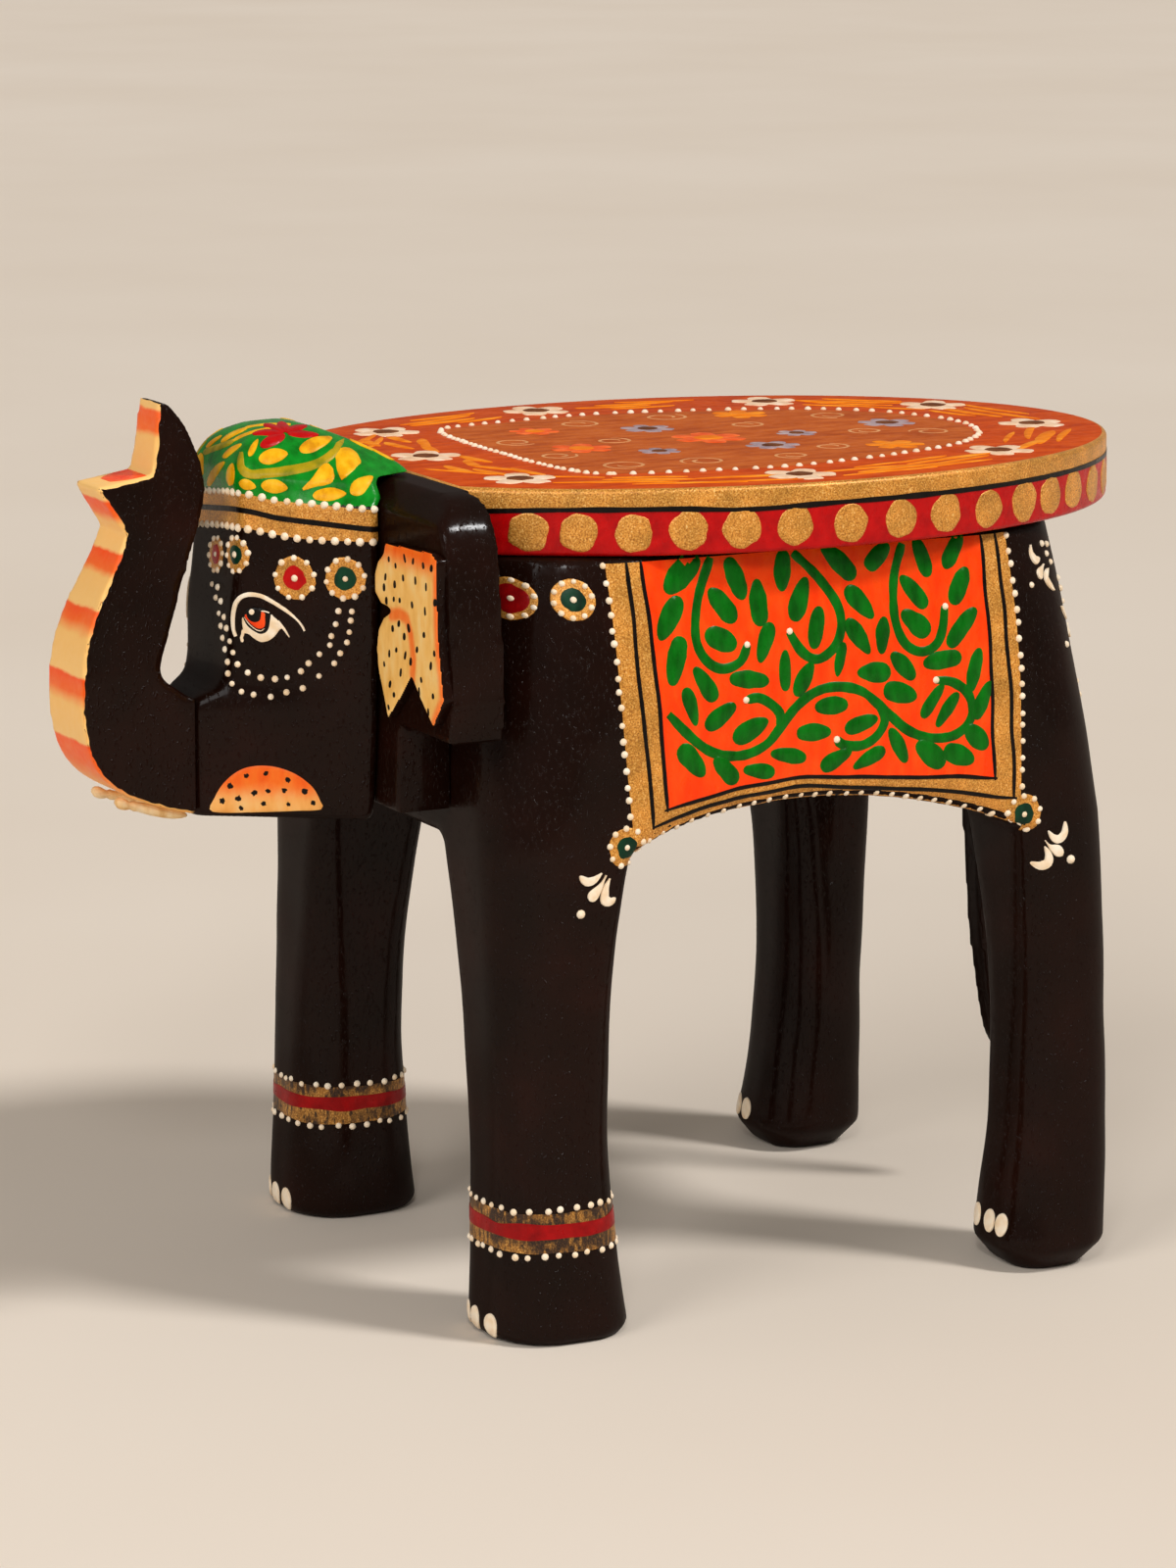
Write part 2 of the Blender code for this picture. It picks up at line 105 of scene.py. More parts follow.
# Ear board and the ears carved on it
EAR_REAR = -60.0
EAR_FRONT = -73.5
EAR_RELIEF = 2.5
EAR_BOARD_LOW = ((44.0, 126.0), (44.0, 147.5), (73.5, 147.5), (75.0, 157.0), (73.5, 178.0))
EAR_BOARD_SHOULDER = ((73.5, 178.0), (71.0, 193.0), (67.0, 200.0), (61.0, 203.3), (55.0, 204.0))
EAR_OUTLINE = (
    (42.2, 191.0), (41.4, 188.4), (38.0, 186.0), (36.2, 183.0), (36.2, 178.4), (39.6, 176.2),
    (46.5, 175.5), (41.2, 173.0), (38.2, 169.8), (37.0, 165.0), (37.9, 159.5), (40.7, 154.0),
    (43.0, 149.0), (50.6, 155.4), (56.6, 161.4), (61.7, 156.6), (68.6, 151.2), (74.6, 158.4),
    (73.4, 164.0), (72.0, 172.0), (71.2, 181.5), (71.3, 190.6), (68.4, 192.2),
)
EAR_TOP_CHAMFER = ((-80.0, 192.3), (-67.5, 204.0))

# Head: height, front, half width in front, half width and place of the side corner, then of the back
HEAD_BACK = -73.8
HEAD_SECTIONS = (
    (122.0, -110.6, 7.5, 28.7, -78.0, 31.0, HEAD_BACK),
    (124.0, -112.4, 9.3, 30.8, -78.0, 33.0, HEAD_BACK),
    (136.0, -112.4, 9.5, 32.2, -78.0, 34.5, HEAD_BACK),
    (148.0, -112.4, 9.7, 33.5, -78.0, 36.0, HEAD_BACK),
    (150.5, -111.4, 10.0, 33.6, -78.0, 36.2, HEAD_BACK),
    (154.5, -105.5, 13.0, 33.8, -78.0, 36.5, HEAD_BACK),
    (160.0, -104.0, 14.0, 34.0, -78.0, 36.7, HEAD_BACK),
    (170.0, -103.5, 14.5, 34.3, -78.0, 37.0, HEAD_BACK),
    (184.0, -101.8, 15.0, 34.6, -78.0, 37.4, HEAD_BACK),
    (198.5, -100.5, 15.0, 34.2, -78.0, 37.0, HEAD_BACK), (200.4, -101.0, 15.2, 32.4, -77.0, 35.2, -72.1),
    (204.3, -101.4, 15.2, 29.9, -76.5, 31.8, -72.1), (204.5, -101.4, 15.2, 30.6, -73.4, 24.6, -60.9),
    (206.5, -101.0, 14.8, 26.6, -74.4, 22.4, -62.6), (209.5, -99.6, 13.8, 21.4, -76.0, 17.6, -67.4),
    (212.5, -96.6, 11.6, 15.2, -79.0, 12.0, -73.6), (214.6, -92.6, 7.4, 9.0, -82.0, 7.4, -79.2),
    (215.4, -88.8, 3.0, 3.7, -84.4, 3.0, -83.0),
)
HEAD_FRONT_ROUND = 5.0
HEAD_BACK_ROUND = 2.0
# The most that a round takes of a half width, where the cap gets small
FRONT_ROUND_SHARE = 0.62
BACK_ROUND_SHARE = 0.25

# Trunk, seen from the side: mouth, front and rear
TRUNK_MOUTH = ((-117.8, 222.3), (-119.2, 211.5), (-120.2, 205.1), (-134.4, 202.9), (-127.5, 191.9))
TRUNK_FRONT = (
    (-127.5, 191.9), (-130.8, 184.0), (-135.1, 175.7), (-138.2, 168.3), (-139.8, 161.5),
    (-140.4, 153.5), (-140.1, 146.5), (-138.3, 139.0), (-134.8, 133.5), (-129.6, 129.5),
    (-122.7, 126.5), (-116.0, 124.4), (-112.7, 123.6),
)
TRUNK_REAR = (
    (-112.7, 151.6), (-116.6, 154.5), (-119.6, 157.0), (-119.6, 160.5), (-117.0, 168.3),
    (-114.2, 176.8), (-111.8, 185.0), (-108.7, 193.9), (-107.2, 199.7), (-107.2, 205.1),
    (-108.6, 210.5), (-111.6, 216.9), (-115.4, 221.7), (-117.8, 222.3),
)
TRUNK_HALF_LOW = 11.3
TRUNK_HALF_TIP = 6.0
TRUNK_TAPER_FROM = 158.0
TRUNK_TIP_HEIGHT = 222.4
JAW = -111.9

# Tusks: place along the underside of the trunk, height of the middle, radius
TUSK_X = 7.6
TUSK_PATH = (
    (-113.0, 122.5, 0.35), (-114.4, 122.9, 1.0), (-117.6, 123.6, 1.5), (-122.4, 124.8, 1.5),
    (-125.6, 125.7, 1.2), (-126.7, 126.0, 1.3), (-127.6, 126.2, 0.95), (-128.3, 126.4, 1.2),
    (-129.6, 126.8, 1.5), (-130.8, 127.1, 1.2), (-131.4, 127.3, 0.5),
)

# Tail, seen from the side
TAIL_OUTLINE = (
    (105.4, 180.0), (106.6, 160.0), (107.9, 140.0), (109.1, 117.0), (109.4, 100.0),
    (110.8, 76.0), (113.2, 56.0), (116.4, 41.0), (120.8, 36.0), (121.8, 50.0),
    (119.0, 76.0), (117.4, 100.0), (116.4, 130.0), (114.6, 160.0), (111.4, 178.0),
)
TAIL_HALF_WIDTH = 4.5

# Camera, solved from the photograph
CAMERA_PLACE = (1.1775, -0.58575, 0.3862)
CAMERA_TURN = math.radians(63.61)
CAMERA_TILT = math.radians(11.504)
CAMERA_LENS = 122.74


# Curves

def smooth_path(points, step, closed=False):
    """Places about one step apart on a smooth curve through the given points."""
    count = len(points)
    result = []
    for i in range(count if closed else count - 1):
        near = []
        for k in (-1, 0, 1, 2):
            index = (i + k) % count if closed else min(max(i + k, 0), count - 1)
            near.append(Vector(points[index]))
        a, b, c, d = near
        pieces = max(1, round((c - b).length / step))
        for j in range(pieces):
            t = j / pieces
            bend = (2.0 * a - 5.0 * b + 4.0 * c - d) * t * t + (3.0 * b - a - 3.0 * c + d) * t ** 3
            result.append(0.5 * (2.0 * b + (c - a) * t + bend))
    if not closed:
        result.append(Vector(points[-1]))
    return result


def straight_path(points, step):
    """Places about one step apart on the straight runs between the given points."""
    result = []
    for a, b in zip(points, points[1:]):
        pieces = max(1, round((Vector(b) - Vector(a)).length / step))
        result += [Vector(a).lerp(Vector(b), j / pieces) for j in range(pieces)]
    return result + [Vector(points[-1])]


def steady(table):
    """A smooth function through (place, value) pairs that never swings past them."""
    places = [p for p, _ in table]
    values = [v for _, v in table]
    slopes = [(values[i + 1] - values[i]) / (places[i + 1] - places[i]) for i in range(len(table) - 1)]
    turns = [slopes[0]]
    for a, b in zip(slopes, slopes[1:]):
        turns.append(2.0 * a * b / (a + b) if a * b > 0.0 else 0.0)
    turns.append(slopes[-1])

    def value(x):
        x = min(max(x, places[0]), places[-1])
        i = max(k for k in range(len(slopes)) if places[k] <= x)
        span = places[i + 1] - places[i]
        t = (x - places[i]) / span
        return ((1.0 + 2.0 * t) * (1.0 - t) ** 2 * values[i] + t * (1.0 - t) ** 2 * span * turns[i]
                + t * t * (3.0 - 2.0 * t) * values[i + 1] + t * t * (t - 1.0) * span * turns[i + 1])

    return value


def ease(low, high, x):
    """0 below low, 1 above high and a soft step between them."""
    t = min(max((x - low) / (high - low), 0.0), 1.0)
    return t * t * (3.0 - 2.0 * t)


def heading(degrees):
    """The flat direction at an angle."""
    return Vector((math.cos(math.radians(degrees)), math.sin(math.radians(degrees))))


def full_turn(count):
    """Angles evenly round a circle."""
    return [math.tau * k / count for k in range(count)]


def distance_to_path(point, path):
    """How far a flat point lies from a row of straight runs."""
    best = 1e9
    for a, b in zip(path, path[1:]):
        start = Vector(a)
        run = Vector(b) - start
        t = min(max((point - start).dot(run) / run.length_squared, 0.0), 1.0)
        best = min(best, (start + run * t - point).length)
    return best


# Carved bodies

def rounded_corners(points, radii, steps):
    """Replace each corner of a convex outline by an arc with its own radius."""
    result = []
    count = len(points)
    for i in range(count):
        here = Vector(points[i])
        before = (Vector(points[i - 1]) - here).normalized()
        after = (Vector(points[(i + 1) % count]) - here).normalized()
        half = 0.5 * before.angle(after)
        middle = here + (before + after).normalized() * (radii[i] / math.sin(half))
        start = here + before * (radii[i] / math.tan(half)) - middle
        for step in range(steps + 1):
            turn = Matrix.Rotation((math.pi - 2.0 * half) * step / steps, 2)
            result.append(middle + turn @ start)
    return result


def box_ring(section, outer_corners, z, inset, steps):
    """One level of a leg or of the torso: inner, outer, front, back and two radii."""
    x0, x1, y0, y1, big, small = section
    corners = [(x0 + inset, y0 + inset), (x1 - inset, y0 + inset),
               (x1 - inset, y1 - inset), (x0 + inset, y1 - inset)]
    radii = [max(small - inset, 1.0)] * 4
    for corner in outer_corners:
        radii[corner] = max(big - inset, 1.0)
    return [(p.x, p.y, z) for p in rounded_corners(corners, radii, steps)]


def loft(rings):
    """A closed body through a stack of rings that all have the same number of points."""
    bm = bmesh.new()
    rows = [[bm.verts.new(point) for point in ring] for ring in rings]
    count = len(rows[0])
    for low, high in zip(rows, rows[1:]):
        for i in range(count):
            j = (i + 1) % count
            bm.faces.new((low[i], low[j], high[j], high[i]))
    bm.faces.new(list(reversed(rows[0])))
    bm.faces.new(rows[-1])
    bmesh.ops.recalc_face_normals(bm, faces=bm.faces)
    return bm


def plate(outline, axis, low, high):
    """A flat outline pushed through from one place to another along the x or y axis."""
    bm = bmesh.new()
    if axis == "x":
        verts = [bm.verts.new((low, a, b)) for a, b in outline]
        push = Vector((high - low, 0.0, 0.0))
    else:
        verts = [bm.verts.new((a, low, b)) for a, b in outline]
        push = Vector((0.0, high - low, 0.0))
    grown = bmesh.ops.extrude_face_region(bm, geom=[bm.faces.new(verts)])
    moved = [v for v in grown["geom"] if isinstance(v, bmesh.types.BMVert)]
    bmesh.ops.translate(bm, vec=push, verts=moved)
    bmesh.ops.recalc_face_normals(bm, faces=bm.faces)
    return bm


def stand_in(bm):
    """A passing object that holds a rough body."""
    mesh = bpy.data.meshes.new("rough")
    bm.to_mesh(mesh)
    bm.free()
    obj = bpy.data.objects.new("rough", mesh)
    bpy.context.scene.collection.objects.link(obj)
    return obj


def evaluated(obj):
    """The body of a passing object after its modifiers. The object is dropped."""
    graph = bpy.context.evaluated_depsgraph_get()
    mesh = bpy.data.meshes.new_from_object(obj.evaluated_get(graph))
    bm = bmesh.new()
    bm.from_mesh(mesh)
    bpy.data.objects.remove(obj)
    bpy.data.meshes.remove(mesh)
    return bm


def cut(body, tool):
    """A body with another one cut away."""
    bmesh.ops.recalc_face_normals(body, faces=body.faces)
    obj = stand_in(body)
    cutter = stand_in(tool)
    modifier = obj.modifiers.new("cut", "BOOLEAN")
    modifier.operation = "DIFFERENCE"
    modifier.solver = "EXACT"
    modifier.object = cutter
    result = evaluated(obj)
    bpy.data.objects.remove(cutter)
    return result


def close(bm):
    """Fill what is open in a body."""
    bmesh.ops.holes_fill(bm, edges=[e for e in bm.edges if e.is_boundary], sides=0)


def saw(bm, place, way, drop=False):
    """Part a body along a plane and, if asked, drop what lies beyond it."""
    everything = bm.verts[:] + bm.edges[:] + bm.faces[:]
    bmesh.ops.bisect_plane(bm, geom=everything, dist=0.0001, clear_outer=drop, plane_co=place, plane_no=way)


def carve(bodies, grain, rounds, waver):
    """Fuse rough bodies as filler and lacquer do, soften the edges and add the waver of hand work."""
    joined = bmesh.new()
    for body in bodies:
        mesh = bpy.data.meshes.new("rough")
        body.to_mesh(mesh)
        body.free()
        joined.from_mesh(mesh)
        bpy.data.meshes.remove(mesh)
    obj = stand_in(joined)
    remesh = obj.modifiers.new("fuse", "REMESH")
    remesh.mode = "VOXEL"
    remesh.voxel_size = grain
    remesh.use_smooth_shade = True
    soften = obj.modifiers.new("soften", "SMOOTH")
    soften.factor = 0.5
    soften.iterations = rounds
    bm = evaluated(obj)
    bm.normal_update()
    for vert in bm.verts:
        vert.co += vert.normal * (waver * noise.noise(vert.co * 0.055))
    return bm


def publish(name, bm, materials, nodes=(), sharp=40.0):
    """Make a finished piece of a body in millimetres, let it ride and hide the imported nodes it stands for.
    """
    bmesh.ops.scale(bm, vec=Vector((MM, MM, MM)), verts=bm.verts)
    mesh = bpy.data.meshes.new(name)
    bm.to_mesh(mesh)
    bm.free()
    for material in materials:
        mesh.materials.append(material)
    mesh.shade_smooth()
    mesh.set_sharp_from_angle(angle=math.radians(sharp))
    obj = bpy.data.objects.new(name, mesh)
    bpy.context.scene.collection.objects.link(obj)
    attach(obj, "root")
    if nodes:
        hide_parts(*nodes)
    return obj


# Materials

def linear(colour):
    """A colour written as in a picture, turned into light."""
    parts = [int(colour[i:i + 2], 16) / 255.0 for i in (1, 3, 5)]
    return tuple(p / 12.92 if p <= 0.04045 else ((p + 0.055) / 1.055) ** 2.4 for p in parts) + (1.0,)


# Stretch of a grain that has no streaks
NO_STREAK = (1.0, 1.0, 1.0)


class Finish:
    """A material with helpers for the nodes that feed its shader."""

    def __init__(self, name):
        self.material = bpy.data.materials.new(name)
        self.material.use_nodes = True
        self.nodes = self.material.node_tree.nodes
        self.links = self.material.node_tree.links
        self.shader = self.nodes["Principled BSDF"]
        self.place = self.nodes.new("ShaderNodeTexCoord").outputs["Object"]

    def give(self, socket, source):
        """Feed a signal to the shader."""
        self.links.new(source, self.shader.inputs[socket])

    def fix(self, socket, value):
        """Give the shader one value all over."""
        self.shader.inputs[socket].default_value = value

    def grain(self, scale, detail=3.0, stretch=NO_STREAK):
        """A noise from 0 to 1 with about that many grains in a metre."""
        mapping = self.nodes.new("ShaderNodeMapping")
        mapping.inputs["Scale"].default_value = stretch
        self.links.new(self.place, mapping.inputs["Vector"])
        texture = self.nodes.new("ShaderNodeTexNoise")
        texture.inputs["Scale"].default_value = scale
        texture.inputs["Detail"].default_value = detail
        self.links.new(mapping.outputs["Vector"], texture.inputs["Vector"])
        return texture.outputs["Fac"]

    def spread(self, source, low, high, from_low=0.3, from_high=0.7):
        """Stretch a signal to another range."""
        node = self.nodes.new("ShaderNodeMapRange")
        node.inputs["From Min"].default_value = from_low
        node.inputs["From Max"].default_value = from_high
        node.inputs["To Min"].default_value = low
        node.inputs["To Max"].default_value = high
        self.links.new(source, node.inputs["Value"])
        return node.outputs["Result"]

    def ramp(self, source, stops):
        """Colours along a signal."""
        node = self.nodes.new("ShaderNodeValToRGB")
        elements = node.color_ramp.elements
        elements.remove(elements[1])
        for i, (place, colour) in enumerate(stops):
            element = elements[0] if i == 0 else elements.new(place)
            element.position = place
            element.color = linear(colour)
        self.links.new(source, node.inputs["Fac"])
        return node.outputs["Color"]

    def mix(self, share, first, second):
        """One colour signal over another."""
        node = self.nodes.new("ShaderNodeMix")
        node.data_type = "RGBA"
        self.links.new(share, node.inputs["Factor"])
        self.links.new(first, node.inputs["A"])
        self.links.new(second, node.inputs["B"])
        return node.outputs["Result"]

    def relief(self, height, strength, depth, under=None):
        """Fine relief, on top of another one if that is given."""
        node = self.nodes.new("ShaderNodeBump")
        node.inputs["Strength"].default_value = strength
        node.inputs["Distance"].default_value = depth
        self.links.new(height, node.inputs["Height"])
        if under:
            self.links.new(under, node.inputs["Normal"])
        return node.outputs["Normal"]


def lacquer():
    """Warm black lacquer brushed on by hand, with dust in it, under a thin clear coat."""
    finish = Finish("black_lacquer")
    tone = finish.grain(45.0, 4.0)
    finish.give("Base Color", finish.ramp(tone, ((0.35, "#130602"), (0.6, "#1A0803"), (0.78, "#220B05"))))
    finish.give("Coat Roughness", finish.spread(finish.grain(700.0, 5.0), 0.08, 0.2))
    brush = finish.relief(finish.grain(260.0, 2.0, (1.0, 1.0, 0.12)), 0.22, 0.0004)
    dust = finish.spread(finish.grain(1300.0, 2.0, (1.0, 1.0, 0.6)), 0.0, 1.0, 0.58, 0.73)
    finish.give("Coat Normal", finish.relief(dust, 0.8, 0.0003, brush))
    finish.fix("Roughness", 0.5)
    finish.fix("Specular IOR Level", 0.02)
    finish.fix("Coat Weight", 0.08)
    finish.fix("Coat IOR", 2.0)
    return finish.material


def brushed(name, dark, main, light, roughness=0.38, streak=(1.0, 1.0, 0.35), gloss=0.16):
    """Poster paint with streaks of the brush, a little uneven in gloss."""
    finish = Finish(name)
    tone = finish.grain(330.0, 5.0, streak)
    finish.give("Base Color", finish.ramp(tone, ((0.32, dark), (0.5, main), (0.72, light))))
    finish.give("Roughness", finish.spread(finish.grain(500.0, 3.0), roughness - 0.08, roughness + 0.1))
    finish.give("Normal", finish.relief(finish.grain(900.0, 3.0, streak), 0.18, 0.0003))
    finish.fix("Specular IOR Level", gloss)
    return finish.material


def seat_brushed(name, dark, main, light, streak=NO_STREAK):
    """The dull, worn paint on top of the seat."""
    return brushed(name, dark, main, light, 0.5, streak, 0.05)


def gold_paint():
    """Bronze paint with coarse bright flakes that thins out in places."""
    finish = Finish("gold_paint")
    flakes = finish.grain(2600.0, 4.0)
    cloud = finish.grain(150.0, 5.0)
    base = finish.ramp(flakes, ((0.3, "#A66018"), (0.46, "#E4953A"), (0.6, "#FCB24C"), (0.74, "#FFE2A2")))
    thin = finish.ramp(flakes, ((0.3, "#8A5618"), (0.55, "#C48630"), (0.75, "#F0BE68")))
    finish.give("Base Color", finish.mix(finish.spread(cloud, 0.0, 1.0), base, thin))
    finish.give("Roughness", finish.spread(flakes, 0.3, 0.5))
    finish.give("Normal", finish.relief(flakes, 0.3, 0.0003))
    finish.fix("Metallic", 0.3)
    return finish.material


def worn_gold():
    """Bronze paint rubbed thin, so that the lacquer shows in patches and along the strokes of the brush."""
    finish = Finish("worn_gold")
    flakes = finish.grain(2600.0, 4.0)
    streaks = finish.grain(950.0, 4.0, (1.0, 1.0, 0.45))
    paint = finish.ramp(flakes, ((0.3, "#6A3E12"), (0.5, "#A87029"), (0.7, "#E4AC58")))
    bare = finish.ramp(flakes, ((0.3, "#140A05"), (0.55, "#3A2210"), (0.75, "#70491C")))
    little = finish.mix(finish.spread(streaks, 0.0, 1.0, 0.5, 0.66), paint, bare)
    much = finish.mix(finish.spread(streaks, 0.0, 1.0, 0.28, 0.5), paint, bare)
    patches = finish.spread(finish.grain(120.0, 2.0), 0.0, 1.0, 0.41, 0.53)
    finish.give("Base Color", finish.mix(patches, little, much))
    finish.give("Roughness", finish.spread(flakes, 0.32, 0.52))
    finish.give("Normal", finish.relief(streaks, 0.3, 0.0003))
    finish.fix("Metallic", 0.25)
    return finish.material


def tinted(name, pale, strong):
    """Cream paint with orange shaded in where the tint of the mesh says so."""
    finish = Finish(name)
    tint = finish.nodes.new("ShaderNodeAttribute")
    tint.attribute_name = "tint"
    streaks = finish.grain(300.0, 5.0, (1.0, 1.0, 0.4))
    cream = finish.ramp(streaks, tuple(zip((0.32, 0.5, 0.7), pale)))
    orange = finish.ramp(streaks, tuple(zip((0.32, 0.5, 0.7), strong)))
    finish.give("Base Color", finish.mix(tint.outputs["Fac"], cream, orange))
    finish.give("Roughness", finish.spread(finish.grain(500.0), 0.36, 0.55))
    finish.give("Normal", finish.relief(finish.grain(800.0, 3.0), 0.2, 0.0003))
    finish.fix("Specular IOR Level", 0.22)
    return finish.material


# Stripes down the trunk: where each starts, where it is still full and where it has faded out
TRUNK_STRIPES = (
    (220.4, 215.4, 214.0), (200.0, 196.2, 194.0), (187.3, 183.2, 181.6),
    (174.2, 170.8, 167.6), (158.5, 154.4, 151.2), (142.3, 136.5, 127.0),
)
STRIPES_LOW = 120.0
STRIPES_HIGH = 224.0


def striped():
    """Cream with orange stripes that are crisp above and fade out below."""
    finish = Finish("trunk_stripes")
    split = finish.nodes.new("ShaderNodeSeparateXYZ")
    finish.links.new(finish.place, split.inputs["Vector"])
    ripple = finish.nodes.new("ShaderNodeMath")
    ripple.operation = "MULTIPLY_ADD"
    finish.links.new(finish.grain(160.0, 4.0), ripple.inputs[0])
    ripple.inputs[1].default_value = 0.0018
    finish.links.new(split.outputs["Z"], ripple.inputs[2])
    height = finish.spread(ripple.outputs[0], 0.0, 1.0, STRIPES_LOW * MM, STRIPES_HIGH * MM)

    def stop(z, colour):
        return ((z + 0.9 - STRIPES_LOW) / (STRIPES_HIGH - STRIPES_LOW), colour)

    stops = []
    for start, full, gone in reversed(TRUNK_STRIPES):
        stops += [stop(gone, "#FFC672"), stop(full, "#FF6A1C"), stop(start - 0.3, "#FF520E"),
                  stop(start + 0.3, "#FFCC7C")]
    streaks = finish.grain(260.0, 4.0, (0.4, 1.0, 1.0))
    shade = finish.ramp(streaks, ((0.3, "#E89440"), (0.6, "#FFC878")))
    share = finish.spread(streaks, 0.0, 0.12)
    finish.give("Base Color", finish.mix(share, finish.ramp(height, stops), shade))
    finish.give("Roughness", finish.spread(finish.grain(500.0), 0.36, 0.52))
    finish.give("Normal", finish.relief(finish.grain(700.0, 3.0), 0.2, 0.0003))
    finish.fix("Specular IOR Level", 0.22)
    return finish.material


def bare_wood():
    """Pale mango wood for the dowels, with its grain along them."""
    finish = Finish("bare_wood")
    rings = finish.grain(90.0, 6.0, (1.0, 1.0, 0.1))
    finish.give("Base Color", finish.ramp(rings, ((0.3, "#8C6238"), (0.5, "#C49A66"), (0.7, "#DDBB88"))))
    finish.give("Roughness", finish.spread(rings, 0.6, 0.8))
    finish.give("Normal", finish.relief(rings, 0.3, 0.0004))
    return finish.material


def nail_steel():
    """Drawn wire with a dull, spotted surface."""
    finish = Finish("nail_steel")
    spots = finish.grain(800.0, 4.0)
    finish.give("Base Color", finish.ramp(spots, ((0.3, "#6A6560"), (0.55, "#8C8B8C"), (0.75, "#A5A6AA"))))
    finish.give("Roughness", finish.spread(spots, 0.3, 0.55))
    finish.fix("Metallic", 1.0)
    return finish.material


LACQUER = lacquer()
GOLD = gold_paint()
WORN_GOLD = worn_gold()
RED = brushed("red_paint", "#A80408", "#B80609", "#C60B0C", 0.3, NO_STREAK)
DEEP_RED = brushed("deep_red_paint", "#800306", "#920508", "#A4080B", 0.34, NO_STREAK)
CLOTH = brushed("cloth_orange", "#FA3A02", "#FF4306", "#FF500E", 0.3)
GREEN = brushed("leaf_green", "#024C04", "#04620A", "#087412", 0.3)
CAP_GREEN = brushed("cap_green", "#046810", "#06801A", "#0C9222", 0.24, gloss=0.2)
YELLOW = brushed("leaf_yellow", "#D68C04", "#F0AC0C", "#FFC428")
OLIVE = brushed("vine_olive", "#7C7A0C", "#A6900E", "#C6A21A")
WHITE = brushed("dot_white", "#F2D4AC", "#FCE6C8", "#FFF2DC", 0.36, NO_STREAK)
INK = brushed("black_line", "#070403", "#0D0806", "#180D09", 0.32)
DARK_GREEN = brushed("rosette_green", "#042416", "#08321F", "#0D4229")
IRIS = brushed("iris_orange", "#F03A0A", "#FF4E16", "#FF6A30", 0.3)
SEAT_GROUND = seat_brushed("seat_orange", "#B83C08", "#CC4A0C", "#D85814", (1.0, 0.3, 1.0))
MAROON = seat_brushed("seat_maroon", "#AC4A16", "#C05A1E", "#CE6A2A", (1.0, 0.3, 1.0))
AMBER = seat_brushed("seat_amber", "#E4700C", "#F48412", "#FFA02C", (1.0, 0.35, 1.0))
PETAL = seat_brushed("seat_petal", "#EABC94", "#F6D0AC", "#FCE2C8")
FLOWER_EYE = seat_brushed("flower_eye", "#5A2C14", "#743E1C", "#885028")
BLUE = seat_brushed("flower_blue", "#96828A", "#AC9498", "#C2AAA6")
CORAL = seat_brushed("flower_coral", "#E4521E", "#F2642A", "#FF8040")
SCROLL = seat_brushed("scroll_cream", "#CC8450", "#DC9A64", "#E8AC78")
EAR_PAINT = tinted("ear_cream", ("#F4B65A", "#FFC870", "#FFD68C"), ("#F85A0A", "#FF6C16", "#FF8024"))
STRIPES = striped()
TUSK_PAINT = brushed("tusk_cream", "#DCA864", "#F4D09A", "#FCE6C0", 0.42)
WOOD = bare_wood()
STEEL = nail_steel()


# Body: torso and legs

def torso_size(z):
    """Half width, rear and corner radius of the torso at one level."""
    t = (z - RUMP_BOTTOM) / (TORSO_TOP - RUMP_BOTTOM)
    return (TORSO_HALF_WIDTH - TORSO_SIDE_LEAN * t ** 2.2, TORSO_REAR - TORSO_REAR_LEAN * t,
            CORNER_LOW + (CORNER_HIGH - CORNER_LOW) * t)


def arch(y):
    """Height of the belly arch."""
    end_y, end_z = (ARCH_FRONT_Y, CHEST_BOTTOM) if y < ARCH_TOP_Y else (ARCH_REAR_Y, RUMP_BOTTOM)
    return ARCH_TOP - (ARCH_TOP - end_z) * ((y - ARCH_TOP_Y) / (end_y - ARCH_TOP_Y)) ** 2


def torso_body():
    """The block with the belly arch cut across."""
    rings = []
    levels = 24
    for i in range(levels + 1):
        z = RUMP_BOTTOM + (TORSO_TOP - RUMP_BOTTOM) * i / levels
        width, rear, corner = torso_size(z)
        rings.append(box_ring((-width, width, TORSO_FRONT, rear, corner, corner), (0, 1, 2, 3), z, 0.0, 16))
    belly = [(TORSO_FRONT - 20.0, RUMP_BOTTOM - 10.0), (TORSO_FRONT - 20.0, CHEST_BOTTOM)]
    points = 48
    for i in range(points + 1):
        y = ARCH_FRONT_Y + (ARCH_REAR_Y - ARCH_FRONT_Y) * i / points
        belly.append((y, arch(y)))
    belly.append((ARCH_REAR_Y, RUMP_BOTTOM - 10.0))
    return cut(loft(rings), plate(belly, "x", -BEYOND, BEYOND))


def leg_section(z, shape):
    """The section at one level, on the curve through foot, waist and top."""
    height = shape["joint"]
    a = (z - WAIST_HEIGHT) * (z - height) / (WAIST_HEIGHT * height)
    b = z * (z - height) / (WAIST_HEIGHT * (WAIST_HEIGHT - height))
    c = z * (z - WAIST_HEIGHT) / (height * (height - WAIST_HEIGHT))
    return [a * f + b * w + c * t for f, w, t in zip(shape["foot"], shape["waist"], shape["top"])]


def leg_body(shape, side):
    """A waisted leg that runs a little way up inside the torso."""
    corner = (shape["corner"],)
    rings = [box_ring(shape["foot"], corner, 0.0, shape["chamfer"], 10)]
    levels = 40
    for i in range(levels + 1):
        z = shape["chamfer"] + (shape["joint"] - shape["chamfer"]) * i / levels
        rings.append(box_ring(leg_section(z, shape), corner, z, 0.0, 10))
    for rise in (2.0, 8.0):
        z = shape["joint"] + rise
        width, rear, radius = torso_size(z)
        inner, _, front, back, _, small = shape["top"]
        inside = (inner, width, front, min(back, rear), radius, small)
        rings.append(box_ring(inside, corner, z, 0.5, 10))
    return loft([[(side * x, y, z) for x, y, z in ring] for ring in rings])


